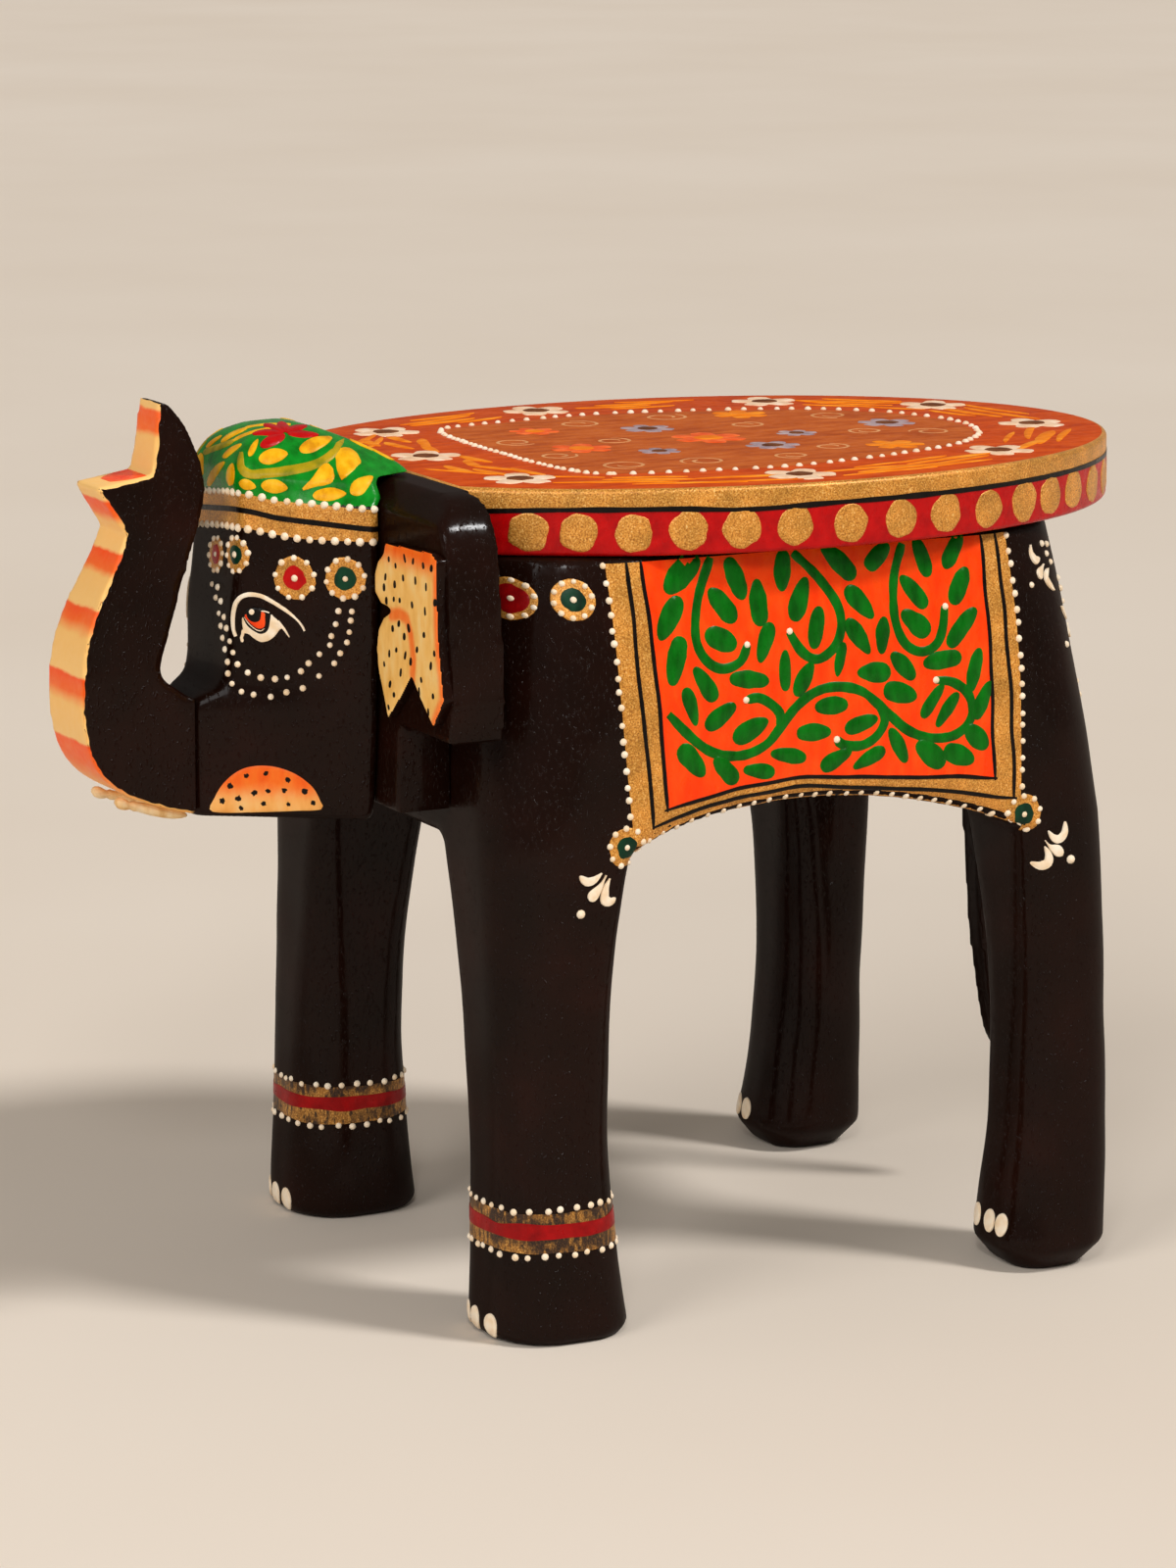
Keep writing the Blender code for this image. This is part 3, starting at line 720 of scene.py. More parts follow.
def part_of_body(body, wanted):
    """The faces of the body that belong to one piece, closed where it was parted."""
    bm = body.copy()
    others = [f for f in bm.faces if piece_at(f.calc_center_median()) != wanted]
    bmesh.ops.delete(bm, geom=others, context="FACES")
    close(bm)
    bmesh.ops.recalc_face_normals(bm, faces=bm.faces)
    return bm


# The legs part from the torso just under the wood of chest and rump
LEG_PARTING = 0.4


def piece_at(place):
    """Which piece of the body a place belongs to."""
    side = "left" if place.x > 0.0 else "right"
    if place.y < ARCH_TOP_Y and place.z < CHEST_BOTTOM - LEG_PARTING:
        return "front_" + side + "_leg"
    if place.y > ARCH_TOP_Y and place.z < RUMP_BOTTOM - LEG_PARTING:
        return "rear_" + side + "_leg"
    return "torso"


# The flank is rounded in towards the belly arch
HEM_ROUND = 2.2
HEM_REACH = 8.0
HEM_END = 12.0
HEM_SIDE = (55.0, 74.0)


def hem_round(place):
    """How far the flank is rounded in at a place near the belly arch."""
    rise = max(0.0, 1.0 - max(0.0, place.z - arch(place.y)) / HEM_REACH)
    inside = ease(ARCH_FRONT_Y, ARCH_FRONT_Y + HEM_END, place.y)
    inside -= ease(ARCH_REAR_Y - HEM_END, ARCH_REAR_Y, place.y)
    return HEM_ROUND * rise ** 2 * inside * ease(*HEM_SIDE, abs(place.x))


rough = [torso_body()]
for _, side in SIDES:
    rough += [leg_body(FRONT_LEG, side), leg_body(REAR_LEG, side)]
body = carve(rough, grain=1.15, rounds=6, waver=0.35)
for vert in body.verts:
    vert.co.x -= math.copysign(hem_round(vert.co), vert.co.x)
body_wood = BVHTree.FromBMesh(body)
for level in (CHEST_BOTTOM - LEG_PARTING, RUMP_BOTTOM - LEG_PARTING):
    saw(body, (0.0, 0.0, level), UP)
for piece in ("torso", "front_left_leg", "front_right_leg", "rear_left_leg", "rear_right_leg"):
    publish("carved_" + piece, part_of_body(body, piece), [LACQUER], [piece])
body.free()

# Head with the domed cap, green above the gold band
CAP_START = 198.4
HEAD_LEVELS = 78

head_curves = [steady([(section[0], section[k]) for section in HEAD_SECTIONS]) for k in range(1, 7)]
head_low, head_high = HEAD_SECTIONS[0][0], HEAD_SECTIONS[-1][0]
head_levels = [head_low + (head_high - head_low) * i / HEAD_LEVELS for i in range(HEAD_LEVELS + 1)]
head_rings = []
for z in sorted(head_levels + [section[0] for section in HEAD_SECTIONS[1:-1]]):
    front, front_half, side_half, side_y, back_half, back = (curve(z) for curve in head_curves)
    corners = [(-front_half, front), (front_half, front), (side_half, side_y),
               (back_half, back), (-back_half, back), (-side_half, side_y)]
    front_round = min(HEAD_FRONT_ROUND, FRONT_ROUND_SHARE * front_half)
    back_round = min(HEAD_BACK_ROUND, BACK_ROUND_SHARE * back_half)
    ring = rounded_corners(corners, [front_round] * 2 + [back_round] * 4, 8)
    head_rings.append([(p.x, p.y, z) for p in ring])
head = carve([loft(head_rings)], grain=0.8, rounds=2, waver=0.2)
head_wood = BVHTree.FromBMesh(head)
for face in head.faces:
    face.material_index = 1 if face.calc_center_median().z > CAP_START else 0
publish("carved_head", head, [LACQUER, CAP_GREEN], ["head"])

# Ear board, with its front top edge cut away
shoulder = smooth_path(EAR_BOARD_SHOULDER, 2.0)
half_board = list(EAR_BOARD_LOW[:-1]) + [(p.x, p.y) for p in shoulder]
board_outline = half_board + [(-x, z) for x, z in reversed(half_board)]
(ya, za), (yb, zb) = EAR_TOP_CHAMFER
wedge = plate([(ya, za), (yb, zb), (yb, zb + 6.0), (ya, zb + 6.0)], "x", -BEYOND, BEYOND)
board_rough = cut(plate(board_outline, "y", EAR_FRONT, EAR_REAR), wedge)
board = carve([board_rough], grain=1.0, rounds=3, waver=0.2)
publish("carved_ear_board", board, [LACQUER], ["ear_board"])

# The ears, cream with orange along the top, the outer edge and the fold
EAR_FOLD = ((46.0, 174.4), (51.0, 175.4), (54.8, 174.8), (57.0, 171.4), (58.4, 166.0), (57.6, 161.0))
EAR_OUTER = ((68.6, 151.2), (74.6, 158.4), (72.0, 172.0), (71.2, 181.5), (71.3, 192.0))


def ear_tint(place):
    """How much orange the ear has at a place."""
    here = Vector((abs(place.x), place.z))
    top = ease(184.6, 190.6, here.y)
    outer = 1.0 - ease(0.4, 2.8, distance_to_path(here, EAR_OUTER))
    fold = 1.0 - ease(0.8, 2.2, distance_to_path(here, EAR_FOLD))
    return max(top, 0.9 * outer, 0.85 * fold)


def give_tint(obj, rule):
    """Store how much orange each vertex has."""
    layer = obj.data.attributes.new("tint", "FLOAT", "POINT")
    layer.data.foreach_set("value", [rule(vert.co / MM) for vert in obj.data.vertices])


reliefs = []
for _, side in SIDES:
    outline = [(side * x, z) for x, z in EAR_OUTLINE]
    reliefs.append(plate(outline, "y", EAR_FRONT - EAR_RELIEF, EAR_FRONT + 1.0))
ears = carve(reliefs, grain=0.6, rounds=3, waver=0.1)
ears_wood = BVHTree.FromBMesh(ears)
for face in ears.faces:
    face.material_index = 0 if face.normal.y < -0.5 else 1
give_tint(publish("painted_ears", ears, [EAR_PAINT, LACQUER]), ear_tint)

# Trunk sawn from a plank, thinned towards its tip and rounded behind, away from its face and from the jaw
TRUNK_FACE_DEPTH = 5.0
TRUNK_ROUND_FRONT_OF = -113.0
TRUNK_ROUNDS = 14
MOUTH_PATH = straight_path(TRUNK_MOUTH, 1.0)
STRIP_PATH = MOUTH_PATH[:-1] + smooth_path(TRUNK_FRONT, 1.0)
rear_path = smooth_path(TRUNK_REAR, 2.0)
glued = [Vector((JAW, TRUNK_FRONT[-1][1])), Vector((JAW, TRUNK_REAR[0][1]))]
trunk_outline = [(p.x, p.y) for p in STRIP_PATH + glued + rear_path[:-1]]
trunk_rough = plate(trunk_outline, "x", -TRUNK_HALF_LOW, TRUNK_HALF_LOW)
for _, side in SIDES:
    slope = Vector((side * (TRUNK_TIP_HEIGHT - TRUNK_TAPER_FROM), 0.0, TRUNK_HALF_LOW - TRUNK_HALF_TIP))
    saw(trunk_rough, (side * TRUNK_HALF_LOW, 0.0, TRUNK_TAPER_FROM), slope.normalized(), True)
    close(trunk_rough)
trunk = carve([trunk_rough], grain=0.7, rounds=2, waver=0.15)
front_line = kdtree.KDTree(len(STRIP_PATH))
for i, p in enumerate(STRIP_PATH):
    front_line.insert((0.0, p.x, p.y), i)
front_line.balance()
behind = []
for vert in trunk.verts:
    depth = front_line.find((0.0, vert.co.y, vert.co.z))[2]
    if depth > TRUNK_FACE_DEPTH and vert.co.y < TRUNK_ROUND_FRONT_OF:
        behind.append(vert)
for _ in range(TRUNK_ROUNDS):
    bmesh.ops.smooth_vert(trunk, verts=behind, factor=0.5, use_axis_x=True, use_axis_y=True, use_axis_z=True)
trunk_wood = BVHTree.FromBMesh(trunk)
publish("carved_trunk", trunk, [LACQUER], ["trunk"])

# Tail, thinner at its end: height of the end, share of the width there, rise to the full width
TAIL_LOW = 36.0
TAIL_END_SHARE = 0.55
TAIL_THIN_RISE = 80.0
tail_rough = plate([(p.x, p.y) for p in smooth_path(TAIL_OUTLINE, 3.0, True)], "x", -1.0, 1.0)
for vert in tail_rough.verts:
    rise = min(1.0, (vert.co.z - TAIL_LOW) / TAIL_THIN_RISE)
    vert.co.x *= TAIL_HALF_WIDTH * (TAIL_END_SHARE + (1.0 - TAIL_END_SHARE) * rise)
tail = carve([tail_rough], grain=0.8, rounds=6, waver=0.15)
publish("carved_tail", tail, [LACQUER], ["tail"])

# Tusks with a knob at the end
for side_name, side in SIDES:
    rings = []
    for y, z, radius in smooth_path(TUSK_PATH, 0.7):
        ring = []
        for a in full_turn(20):
            ring.append((side * TUSK_X + radius * math.cos(a), y, z + radius * math.sin(a)))
        rings.append(ring)
    tusk = side_name + "_tusk"
    publish("painted_" + tusk, loft(rings), [TUSK_PAINT], [tusk], sharp=60.0)

# Seat board: painted top, gold and red rim, black underside
cut_angle = math.asin((SEAT_CENTRE_Y - SEAT_CUT) / SEAT_HALF_LENGTH)
seat_angles = [-cut_angle + (math.pi + 2.0 * cut_angle) * i / 240 for i in range(241)]


def rim_place(angle):
    """A place on the edge of the seat."""
    y = SEAT_CENTRE_Y + SEAT_HALF_LENGTH * math.sin(angle)
    return Vector((SEAT_HALF_WIDTH * math.cos(angle), y, 0.0))


seat_runs = [0.0]
for a, b in zip(seat_angles, seat_angles[1:]):
    seat_runs.append(seat_runs[-1] + (rim_place(b) - rim_place(a)).length)
RIM_LENGTH = seat_runs[-1]
rim_angle = steady(list(zip(seat_runs, seat_angles)))
# Lower edge of the gold, along the rim from its near front end
GOLD_EDGE = steady((
    (0.0, 198.3), (30.0, 199.2), (50.0, 199.2), (70.0, 198.5), (95.0, 199.0), (RIM_LENGTH, 199.0),
))
quarter = [0.5 * math.pi * k / 4 for k in range(5)]
seat_profile = []
for a in quarter:
    seat_profile.append((SEAT_EDGE * (1.0 - math.sin(a)), SEAT_BOTTOM + SEAT_EDGE * (1.0 - math.cos(a))))
seat_profile.append((0.0, None))
for a in quarter:
    seat_profile.append((SEAT_EDGE * (1.0 - math.cos(a)), SEAT_TOP - SEAT_EDGE * (1.0 - math.sin(a))))
seat_rings = []
for inset, level in seat_profile:
    ring = []
    for run, a in zip(seat_runs, seat_angles):
        y = SEAT_CENTRE_Y + (SEAT_HALF_LENGTH - inset) * math.sin(a)
        z = GOLD_EDGE(run) if level is None else level
        ring.append(((SEAT_HALF_WIDTH - inset) * math.cos(a), max(y, SEAT_CUT), z))
    seat_rings.append(ring)
seat = loft(seat_rings)
seat_wood = BVHTree.FromBMesh(seat)
for face in seat.faces:
    z = face.calc_center_median().z
    if z > SEAT_TOP - 0.01:
        face.material_index = 0
    elif z < SEAT_BOTTOM + 0.01:
        face.material_index = 3
    else:
        face.material_index = 1 if z > 0.5 * (SEAT_BOTTOM + SEAT_TOP) else 2
publish("painted_seat", seat, [SEAT_GROUND, GOLD, RED, LACQUER], ["seat_board"], sharp=30.0)


# Painting

class Canvas:
    """A sheet before the carving. A place on it is pushed straight onto the wood."""

    REACH = 60.0

    def __init__(self, wood, spot):
        self.wood = wood
        self.spot = spot

    def touch(self, u, v):
        """Where a place on the sheet meets the wood, and the way out of the wood there."""
        place, way = self.spot(u, v)
        hit, normal, _, _ = self.wood.ray_cast(place - way * self.REACH, way, 2.0 * self.REACH)
        if hit is None:
            hit, normal, _, _ = self.wood.find_nearest(place)
        return hit, normal if normal.dot(way) < 0.0 else -normal


def flat(wood, origin, right, up, way):
    """A flat canvas: an origin near the wood, two directions on the sheet and the way to the wood."""
    origin, right, up, way = Vector(origin), Vector(right).normalized(), Vector(up), Vector(way).normalized()
    return Canvas(wood, lambda u, v: (origin + right * u + up * v, way))


def upright(wood, place, run, side):
    """An upright canvas through a place, with the way in which it runs there, on either side."""
    origin = (side * place[0], place[1], 0.0)
    return flat(wood, origin, (side * run[0], run[1], 0.0), UP, (-side * run[1], run[0], 0.0))


def facing_front(wood, y, side=1.0):
    """A canvas before the elephant: x, counted outwards on its side, and height."""
    return upright(wood, (0.0, y), (1.0, 0.0), side)


def facing_down(wood, z, side=1.0):
    """A canvas above the elephant: x, counted outwards on its side, and y."""
    return flat(wood, (0.0, 0.0, z), (side, 0.0, 0.0), (0.0, 1.0, 0.0), -UP)


def wrapped(wood, middle, radius, side=1.0):
    """A canvas round an upright axis: degrees from the front and height."""
    def spot(u, v):
        out = Vector((side * math.sin(math.radians(u)), -math.cos(math.radians(u)), 0.0))
        return Vector((side * middle[0], middle[1], v)) + out * radius, -out

    return Canvas(wood, spot)


class Paint:
    """Many small closed shells of one paint, each lying on the wood."""

    SINK = 0.08
    made = []

    def __init__(self, name, material, slot="seat_paint"):
        self.name = name
        self.material = material
        self.slot = slot
        self.verts = []
        self.faces = []
        self.made.append(self)

    def on(self, canvas, place, lift):
        """A place just above the wood."""
        hit, normal = canvas.touch(place[0], place[1])
        return hit + normal * lift

    def tube(self, rings):
        """Skin rings of the same count and close both ends."""
        start = len(self.verts)
        count = len(rings[0])
        for ring in rings:
            self.verts += ring
        for i in range(len(rings) - 1):
            for j in range(count):
                a = start + i * count + j
                b = start + i * count + (j + 1) % count
                self.faces.append((a, b, b + count, a + count))
        self.faces.append(tuple(range(start, start + count)))
        self.faces.append(tuple(range(start + (len(rings) - 1) * count, start + len(rings) * count)))

    def stroke(self, canvas, path, half, lift):
        """A brush stroke along a path. half gives its half width at a share of its length."""
        side = 0.75 * lift
        section = ((-1.0, -self.SINK), (-0.82, side), (0.0, lift), (0.82, side), (1.0, -self.SINK))
        rings = []
        for i, here in enumerate(path):
            ahead = path[min(i + 1, len(path) - 1)] - path[max(i - 1, 0)]
            across = Vector((-ahead.y, ahead.x)).normalized()
            wide = half(i / (len(path) - 1)) * (1.0 + 0.14 * noise.noise(Vector((here.x, here.y, 3.0)) * 0.4))
            rings.append([self.on(canvas, here + across * (wide * k), height) for k, height in section])
        self.tube(rings)

    def blob(self, canvas, outline, lift):
        """A filled shape."""
        section = ((1.0, -self.SINK), (0.96, 0.75 * lift), (0.85, lift), (0.5, lift), (0.15, lift))
        middle = sum(outline, Vector((0.0, 0.0))) / len(outline)
        rings = []
        for share, height in section:
            rings.append([self.on(canvas, middle + (p - middle) * share, height) for p in outline])
        self.tube(rings)

    def disc(self, canvas, u, v, radius, lift, ragged=0.05):
        """A filled circle with a hand-made edge."""
        outline = []
        for turn in full_turn(12 + int(radius * 3.0)):
            way = Vector((math.cos(turn), math.sin(turn)))
            swing = noise.noise(Vector((u + way.x * 1.6, v + way.y * 1.6, 7.0)))
            outline.append(Vector((u, v)) + way * radius * (1.0 + ragged * 2.0 * swing))
        self.blob(canvas, outline, lift)

    def dot(self, canvas, u, v, radius):
        """A raised drop of thick paint."""
        radius *= chance.uniform(0.88, 1.12)
        height = 0.8 * radius
        rings = []
        for share, lift in ((1.0, -self.SINK), (0.92, 0.4 * height), (0.6, 0.85 * height), (0.2, height)):
            reach = radius * share
            ring = [(u + reach * math.cos(a), v + reach * math.sin(a)) for a in full_turn(9)]
            rings.append([self.on(canvas, place, lift) for place in ring])
        self.tube(rings)

    def patch(self, canvas, rows, lift):
        """A thin sheet over a grid of places."""
        start = len(self.verts)
        count = len(rows[0])
        under = len(rows) * count
        for height in (lift, -self.SINK):
            for row in rows:
                self.verts += [self.on(canvas, place, height) for place in row]
        for i in range(len(rows) - 1):
            for j in range(count - 1):
                a = start + i * count + j
                quad = (a, a + 1, a + 1 + count, a + count)
                self.faces.append(quad)
                self.faces.append(tuple(index + under for index in reversed(quad)))
        rim = [start + j for j in range(count)]
        rim += [start + i * count + count - 1 for i in range(1, len(rows))]
        rim += [start + (len(rows) - 1) * count + j for j in range(count - 2, -1, -1)]
        rim += [start + i * count for i in range(len(rows) - 2, 0, -1)]
        for a, b in zip(rim, rim[1:] + rim[:1]):
            self.faces.append((a, a + under, b + under, b))

    def publish(self):
        """Make all shells of this paint one piece."""
        bm = bmesh.new()
        verts = [bm.verts.new(v) for v in self.verts]
        for face in self.faces:
            bm.faces.new([verts[i] for i in face])
        bmesh.ops.recalc_face_normals(bm, faces=bm.faces)
        return publish(self.name, bm, [self.material], sharp=50.0)


def even(half):
    """A line of even width with soft ends."""
    return lambda t: half * (0.45 + 0.55 * min(1.0, 12.0 * min(t, 1.0 - t)))


def vine_form(half):
    """A line of even width with blunt ends."""
    return lambda t: half * (0.75 + 0.25 * min(1.0, 20.0 * min(t, 1.0 - t)))


def leaf_form(half, blunt=0.8, taper=0.1):
    """A leaf, blunt or pointed. Its path is closer set at the ends, see leaf_path."""
    return lambda t: max(0.1, half * math.sin(math.pi * t) ** blunt * (1.0 + taper * math.cos(math.pi * t)))


def swelling(half, peak):
    """A stroke that starts thin and is fullest at a share of its length."""
    power = math.log(0.5) / math.log(peak)
    return lambda t: max(0.15, half * math.sin(math.pi * t ** power) ** 0.7)


def drop_form(half):
    """A drop: thin tail and full end."""
    def width(t):
        end = max(0.0, (t - 0.75) / 0.25)
        return max(0.12, half * min(1.0, 0.12 + 1.25 * t ** 1.4) * math.sqrt(max(0.0, 1.0 - end * end)))

    return width


def leaf_path(u, v, angle, length, bend=0.08):
    """The middle line of a leaf round its centre."""
    along = heading(angle)
    across = Vector((-along.y, along.x))
    path = []
    for i in range(13):
        t = -0.5 * math.cos(math.pi * i / 12.0)
        path.append(Vector((u, v)) + along * (length * t) + across * (length * bend * (0.25 - t * t)))
    return path


def wavy(path, swing):
    """A path drawn with an unsteady hand."""
    result = []
    for p in path:
        seed = Vector((p.x, p.y, 11.0)) * 0.09
        result.append(p + swing * Vector((noise.noise(seed), noise.noise(seed + UP * 5.0))))
    return result


def spaced(canvas, path, pitch):
    """Places one pitch apart on the wood along a path on the sheet."""
    result = [path[0]]
    last = canvas.touch(*path[0])[0]
    gone = 0.0
    for here in path[1:]:
        place = canvas.touch(*here)[0]
        gone += (place - last).length
        last = place
        if gone >= pitch:
            result.append(here)
            gone -= pitch
    return result


# The paints, in the order in which they become pieces
cloth = Paint("cloth_panels", CLOTH)
leaves = Paint("cloth_leaves", GREEN)
vines = Paint("cloth_vines", GREEN)
yellow = Paint("cap_leaves", YELLOW)
olive = Paint("cap_vines", OLIVE)
cheek = Paint("painted_cheeks", EAR_PAINT, "cream_paint")
strip = Paint("trunk_stripes", STRIPES, "cream_paint")
iris = Paint("orange_marks", IRIS, "cream_paint")
worn = Paint("anklet_gold", WORN_GOLD)
panel = Paint("seat_cartouche", MAROON)
amber = Paint("seat_amber_leaves", AMBER)
petals = Paint("seat_white_petals", PETAL)
hearts = Paint("seat_flower_hearts", FLOWER_EYE)
blue = Paint("seat_blue_flowers", BLUE)
coral = Paint("seat_coral_flowers", CORAL)
scrolls = Paint("seat_scrolls", SCROLL)
gold = Paint("gold_bands", GOLD)
red = Paint("red_paint", RED)
deep_red = Paint("deep_red_paint", DEEP_RED)
dark_green = Paint("rosette_hearts", DARK_GREEN)
white = Paint("white_drops", WHITE, "cream_paint")
ink = Paint("black_lines", INK, "black_lacquer")
# Radius of most drops
DOT = 0.84


def rosette(canvas, u, v, radius, centre, dots, dot=0.78, ring=0.93, heart=0.57):
    """A gold disc with a coloured heart and a ring of drops."""
    gold.disc(canvas, u, v, radius, lift=0.14)
    centre.disc(canvas, u, v, heart * radius, lift=0.24, ragged=0.09)
    white.dot(canvas, u, v, dot * 1.05)
    for k in range(dots):
        turn = math.tau * (k + 0.3) / dots
        white.dot(canvas, u + ring * radius * math.cos(turn), v + ring * radius * math.sin(turn), dot)


def upright_dot(canvas, u, v, radius):
    """A drop that stands square on the wood, also where the wood turns away from the sheet."""
    place, normal = canvas.touch(u, v)
    white.dot(flat(canvas.wood, place, UP.cross(normal), UP, -normal), 0.0, 0.0, radius)


def dotted(canvas, path, pitch, dot=DOT):
    """A row of drops along a path."""
    for here in spaced(canvas, path, pitch):
        stray = Vector((chance.uniform(-0.2, 0.2), chance.uniform(-0.2, 0.2)))
        white.dot(canvas, here.x + stray.x, here.y + stray.y, dot)


# Cloth on the flanks: y along the sheet, height up the sheet
CLOTH_TOP = 186.6
HEM_FRONT = -26.0
HEM_REAR = 78.0
HEM_GAP = 0.3
CLOTH_LEFT = steady(((117.0, -27.2), (126.0, -28.0), (150.0, -29.8), (187.0, -31.4)))
CLOTH_RIGHT = steady(((117.0, 78.2), (126.0, 78.6), (150.0, 78.7), (187.0, 77.7)))
PANEL_LEFT = steady(((126.0, -18.5), (150.0, -20.1), (187.0, -22.5)))
PANEL_RIGHT = steady(((126.0, 70.9), (148.0, 70.7), (187.0, 69.8)))
PANEL_LOW = steady((
    (-22.0, 127.6), (-18.9, 128.1), (0.9, 131.3), (18.7, 132.3), (36.4, 131.1), (58.7, 128.8),
    (74.0, 127.7),
))
CLOTH_LINES = (
    ((-26.2, 187.0), (-25.1, 160.0), (-23.4, 138.0), (-22.3, 123.6)),
    ((-22.6, 123.9), (-13.0, 126.4), (-3.6, 128.2), (17.6, 130.0), (45.0, 127.2), (62.0, 124.6),
     (77.4, 122.1)),
    ((76.5, 122.2), (76.4, 136.0), (75.4, 160.0), (74.3, 187.0)),
    ((-22.5, 187.0), (-20.1, 150.0), (-18.5, 127.4)),
    ((-19.4, 127.7), (0.9, 131.3), (18.7, 132.3), (36.4, 131.1), (58.7, 128.8), (71.6, 127.7)),
    ((71.0, 127.3), (70.7, 148.0), (69.8, 187.0)),
)
VINES = (
    ((-4.1, 186.2), (-8.0, 177.8), (-9.7, 171.0), (-9.1, 165.6), (-6.3, 161.7), (-2.4, 160.2),
     (2.0, 161.7), (4.0, 165.4)),
    ((18.1, 186.2), (24.2, 180.0), (28.7, 173.3), (29.4, 167.8), (27.6, 163.3), (23.1, 160.6),
     (19.2, 162.2), (15.6, 167.7)),
    ((48.1, 186.2), (45.1, 178.9), (44.2, 171.1), (45.3, 165.6), (47.6, 161.7), (51.4, 160.2),
     (55.3, 161.7), (57.6, 165.6), (58.6, 170.4)),
    ((-18.0, 150.6), (-13.6, 146.1), (-6.9, 141.1), (0.9, 139.4), (7.6, 141.1), (12.0, 145.0),
     (16.4, 149.4), (22.0, 152.8), (27.6, 153.6), (34.2, 152.2), (38.7, 148.9), (42.0, 145.6),
     (46.4, 141.7), (52.0, 139.4), (58.7, 138.9), (63.1, 141.1), (64.8, 144.4), (63.7, 148.9),
     (59.8, 151.9), (55.0, 153.0)),
    ((12.0, 145.2), (12.0, 148.3), (9.2, 151.1), (5.9, 152.8), (2.9, 152.4)),
    ((39.4, 148.5), (40.6, 144.4), (38.1, 140.6), (33.7, 138.7), (28.7, 139.4), (27.2, 140.9)),
)
# Leaves on the cloth: place along, height, lean, length, half width
CLOTH_LEAVES = (
    (-12, 183, 40, 12.2, 3.6), (2, 181, -70, 10.8, 2.9), (-16, 173, 58, 11.5, 3.1),
    (-2, 175, -52, 10.5, 3.0), (-3, 167, -25, 9.0, 3.2), (-15, 163, 74, 11.8, 2.9),
    (8, 175, 92, 11.2, 2.9), (9, 165.5, 68, 10.0, 2.4), (15, 182, 82, 9.8, 2.7),
    (30, 183, -45, 12.0, 2.9), (41, 183.5, 40, 8.5, 2.7), (53, 182.5, -73, 10.0, 2.5),
    (62, 183.5, 56, 10.0, 2.4), (19, 175, 68, 11.0, 2.8), (23, 168, 78, 10.3, 2.5),
    (35, 173, -48, 10.5, 2.7), (34, 165, -55, 10.5, 2.6), (41, 164.8, 82, 9.0, 2.2),
    (50, 174.5, -50, 10.5, 2.5), (50, 167, -40, 9.4, 3.0), (63, 175, 63, 9.8, 2.8),
    (63, 165, 47, 12.0, 2.6), (57, 157.5, 5, 10.8, 2.7), (66, 154.5, 73, 11.0, 2.3),
    (46, 157, -48, 9.0, 2.5), (38, 156, -5, 9.3, 2.8), (29, 160, 75, 8.4, 1.7), (19, 156, 58, 9.2, 2.5),
    (14, 158.5, 88, 9.8, 2.0), (4, 157, -8, 10.8, 2.5), (-8, 157, -58, 9.8, 2.5),
    (-12, 152, -74, 9.6, 2.0), (-4, 149, 33, 9.6, 2.7), (4, 145, 24, 10.4, 2.9), (26, 149, 0, 9.0, 2.6),
    (34, 144, 14, 9.4, 2.3), (21, 143, -2, 9.3, 2.5), (45, 150.5, -16, 9.5, 3.1),
    (54, 148, 52, 10.0, 1.9), (58, 145.5, 52, 10.0, 1.9), (68, 147, 63, 10.2, 2.2),
    (-12, 139, -50, 10.0, 3.0), (-3, 136, -48, 8.8, 2.6), (6, 135, -10, 8.6, 2.2),
    (14, 138, -12, 9.8, 2.2), (27, 136, 25, 9.2, 2.4), (36, 135.5, 24, 9.6, 2.2),
    (44, 138, -63, 9.8, 2.2), (53, 135, -39, 9.8, 3.2), (61, 134, -22, 9.2, 3.0),
    (66, 138, -44, 8.2, 2.9),
)
# Sprays under the corners of the cloth: path, half width, where it is fullest
SPRAYS = (
    (((-36.1, 114.4), (-38.0, 112.9), (-39.9, 112.6), (-41.8, 114.2)), 1.1, 0.6),
    (((-34.9, 113.8), (-36.4, 111.1), (-39.1, 107.9)), 1.45, 0.76),
    (((-33.9, 112.9), (-34.9, 110.4), (-34.9, 107.6), (-33.3, 107.2), (-32.3, 108.0)), 1.3, 0.6),
    (((86.6, 113.0), (88.2, 111.1), (89.9, 110.6), (91.3, 112.1), (91.3, 114.9)), 1.1, 0.5),
    (((85.8, 110.6), (87.4, 108.9), (89.4, 107.8), (90.8, 106.4)), 1.45, 0.75),
    (((85.8, 109.1), (87.0, 106.8), (86.9, 104.8), (84.9, 104.2), (82.9, 105.1)), 1.3, 0.55),
)
SPRAY_DOTS = ((-41.2, 104.8), (93.4, 105.1))
# The same on the rear corner, on a sheet that stands across it
RUMP_CORNER = (62.0, 95.0)
RUMP_SPRAYS = (
    (((-8.4, 182.4), (-9.0, 180.4), (-7.8, 178.7), (-5.7, 178.8)), 1.2, 0.6),
    (((-4.1, 177.1), (-6.5, 175.8), (-8.4, 174.3)), 1.35, 0.72),
    (((-1.8, 175.7), (-4.4, 173.7), (-1.3, 170.3)), 1.2, 0.5),
    (((1.8, 165.8), (4.4, 163.8), (6.2, 162.0)), 1.0, 0.5),
    (((7.6, 160.8), (7.0, 158.9), (6.6, 157.4)), 1.2, 0.7),
)
RUMP_DOTS = (
    (-12.4, 173.2), (-1.4, 157.0), (-1.5, 181.8), (2.5, 181.1), (0.1, 179.1), (2.0, 176.8), (7.5, 172.0),
    (8.2, 169.3), (8.8, 166.0), (9.2, 146.0), (9.4, 142.6),
)


def mixed(a, b, t):
    """A value on the way from one to another."""
    return a + (b - a) * t


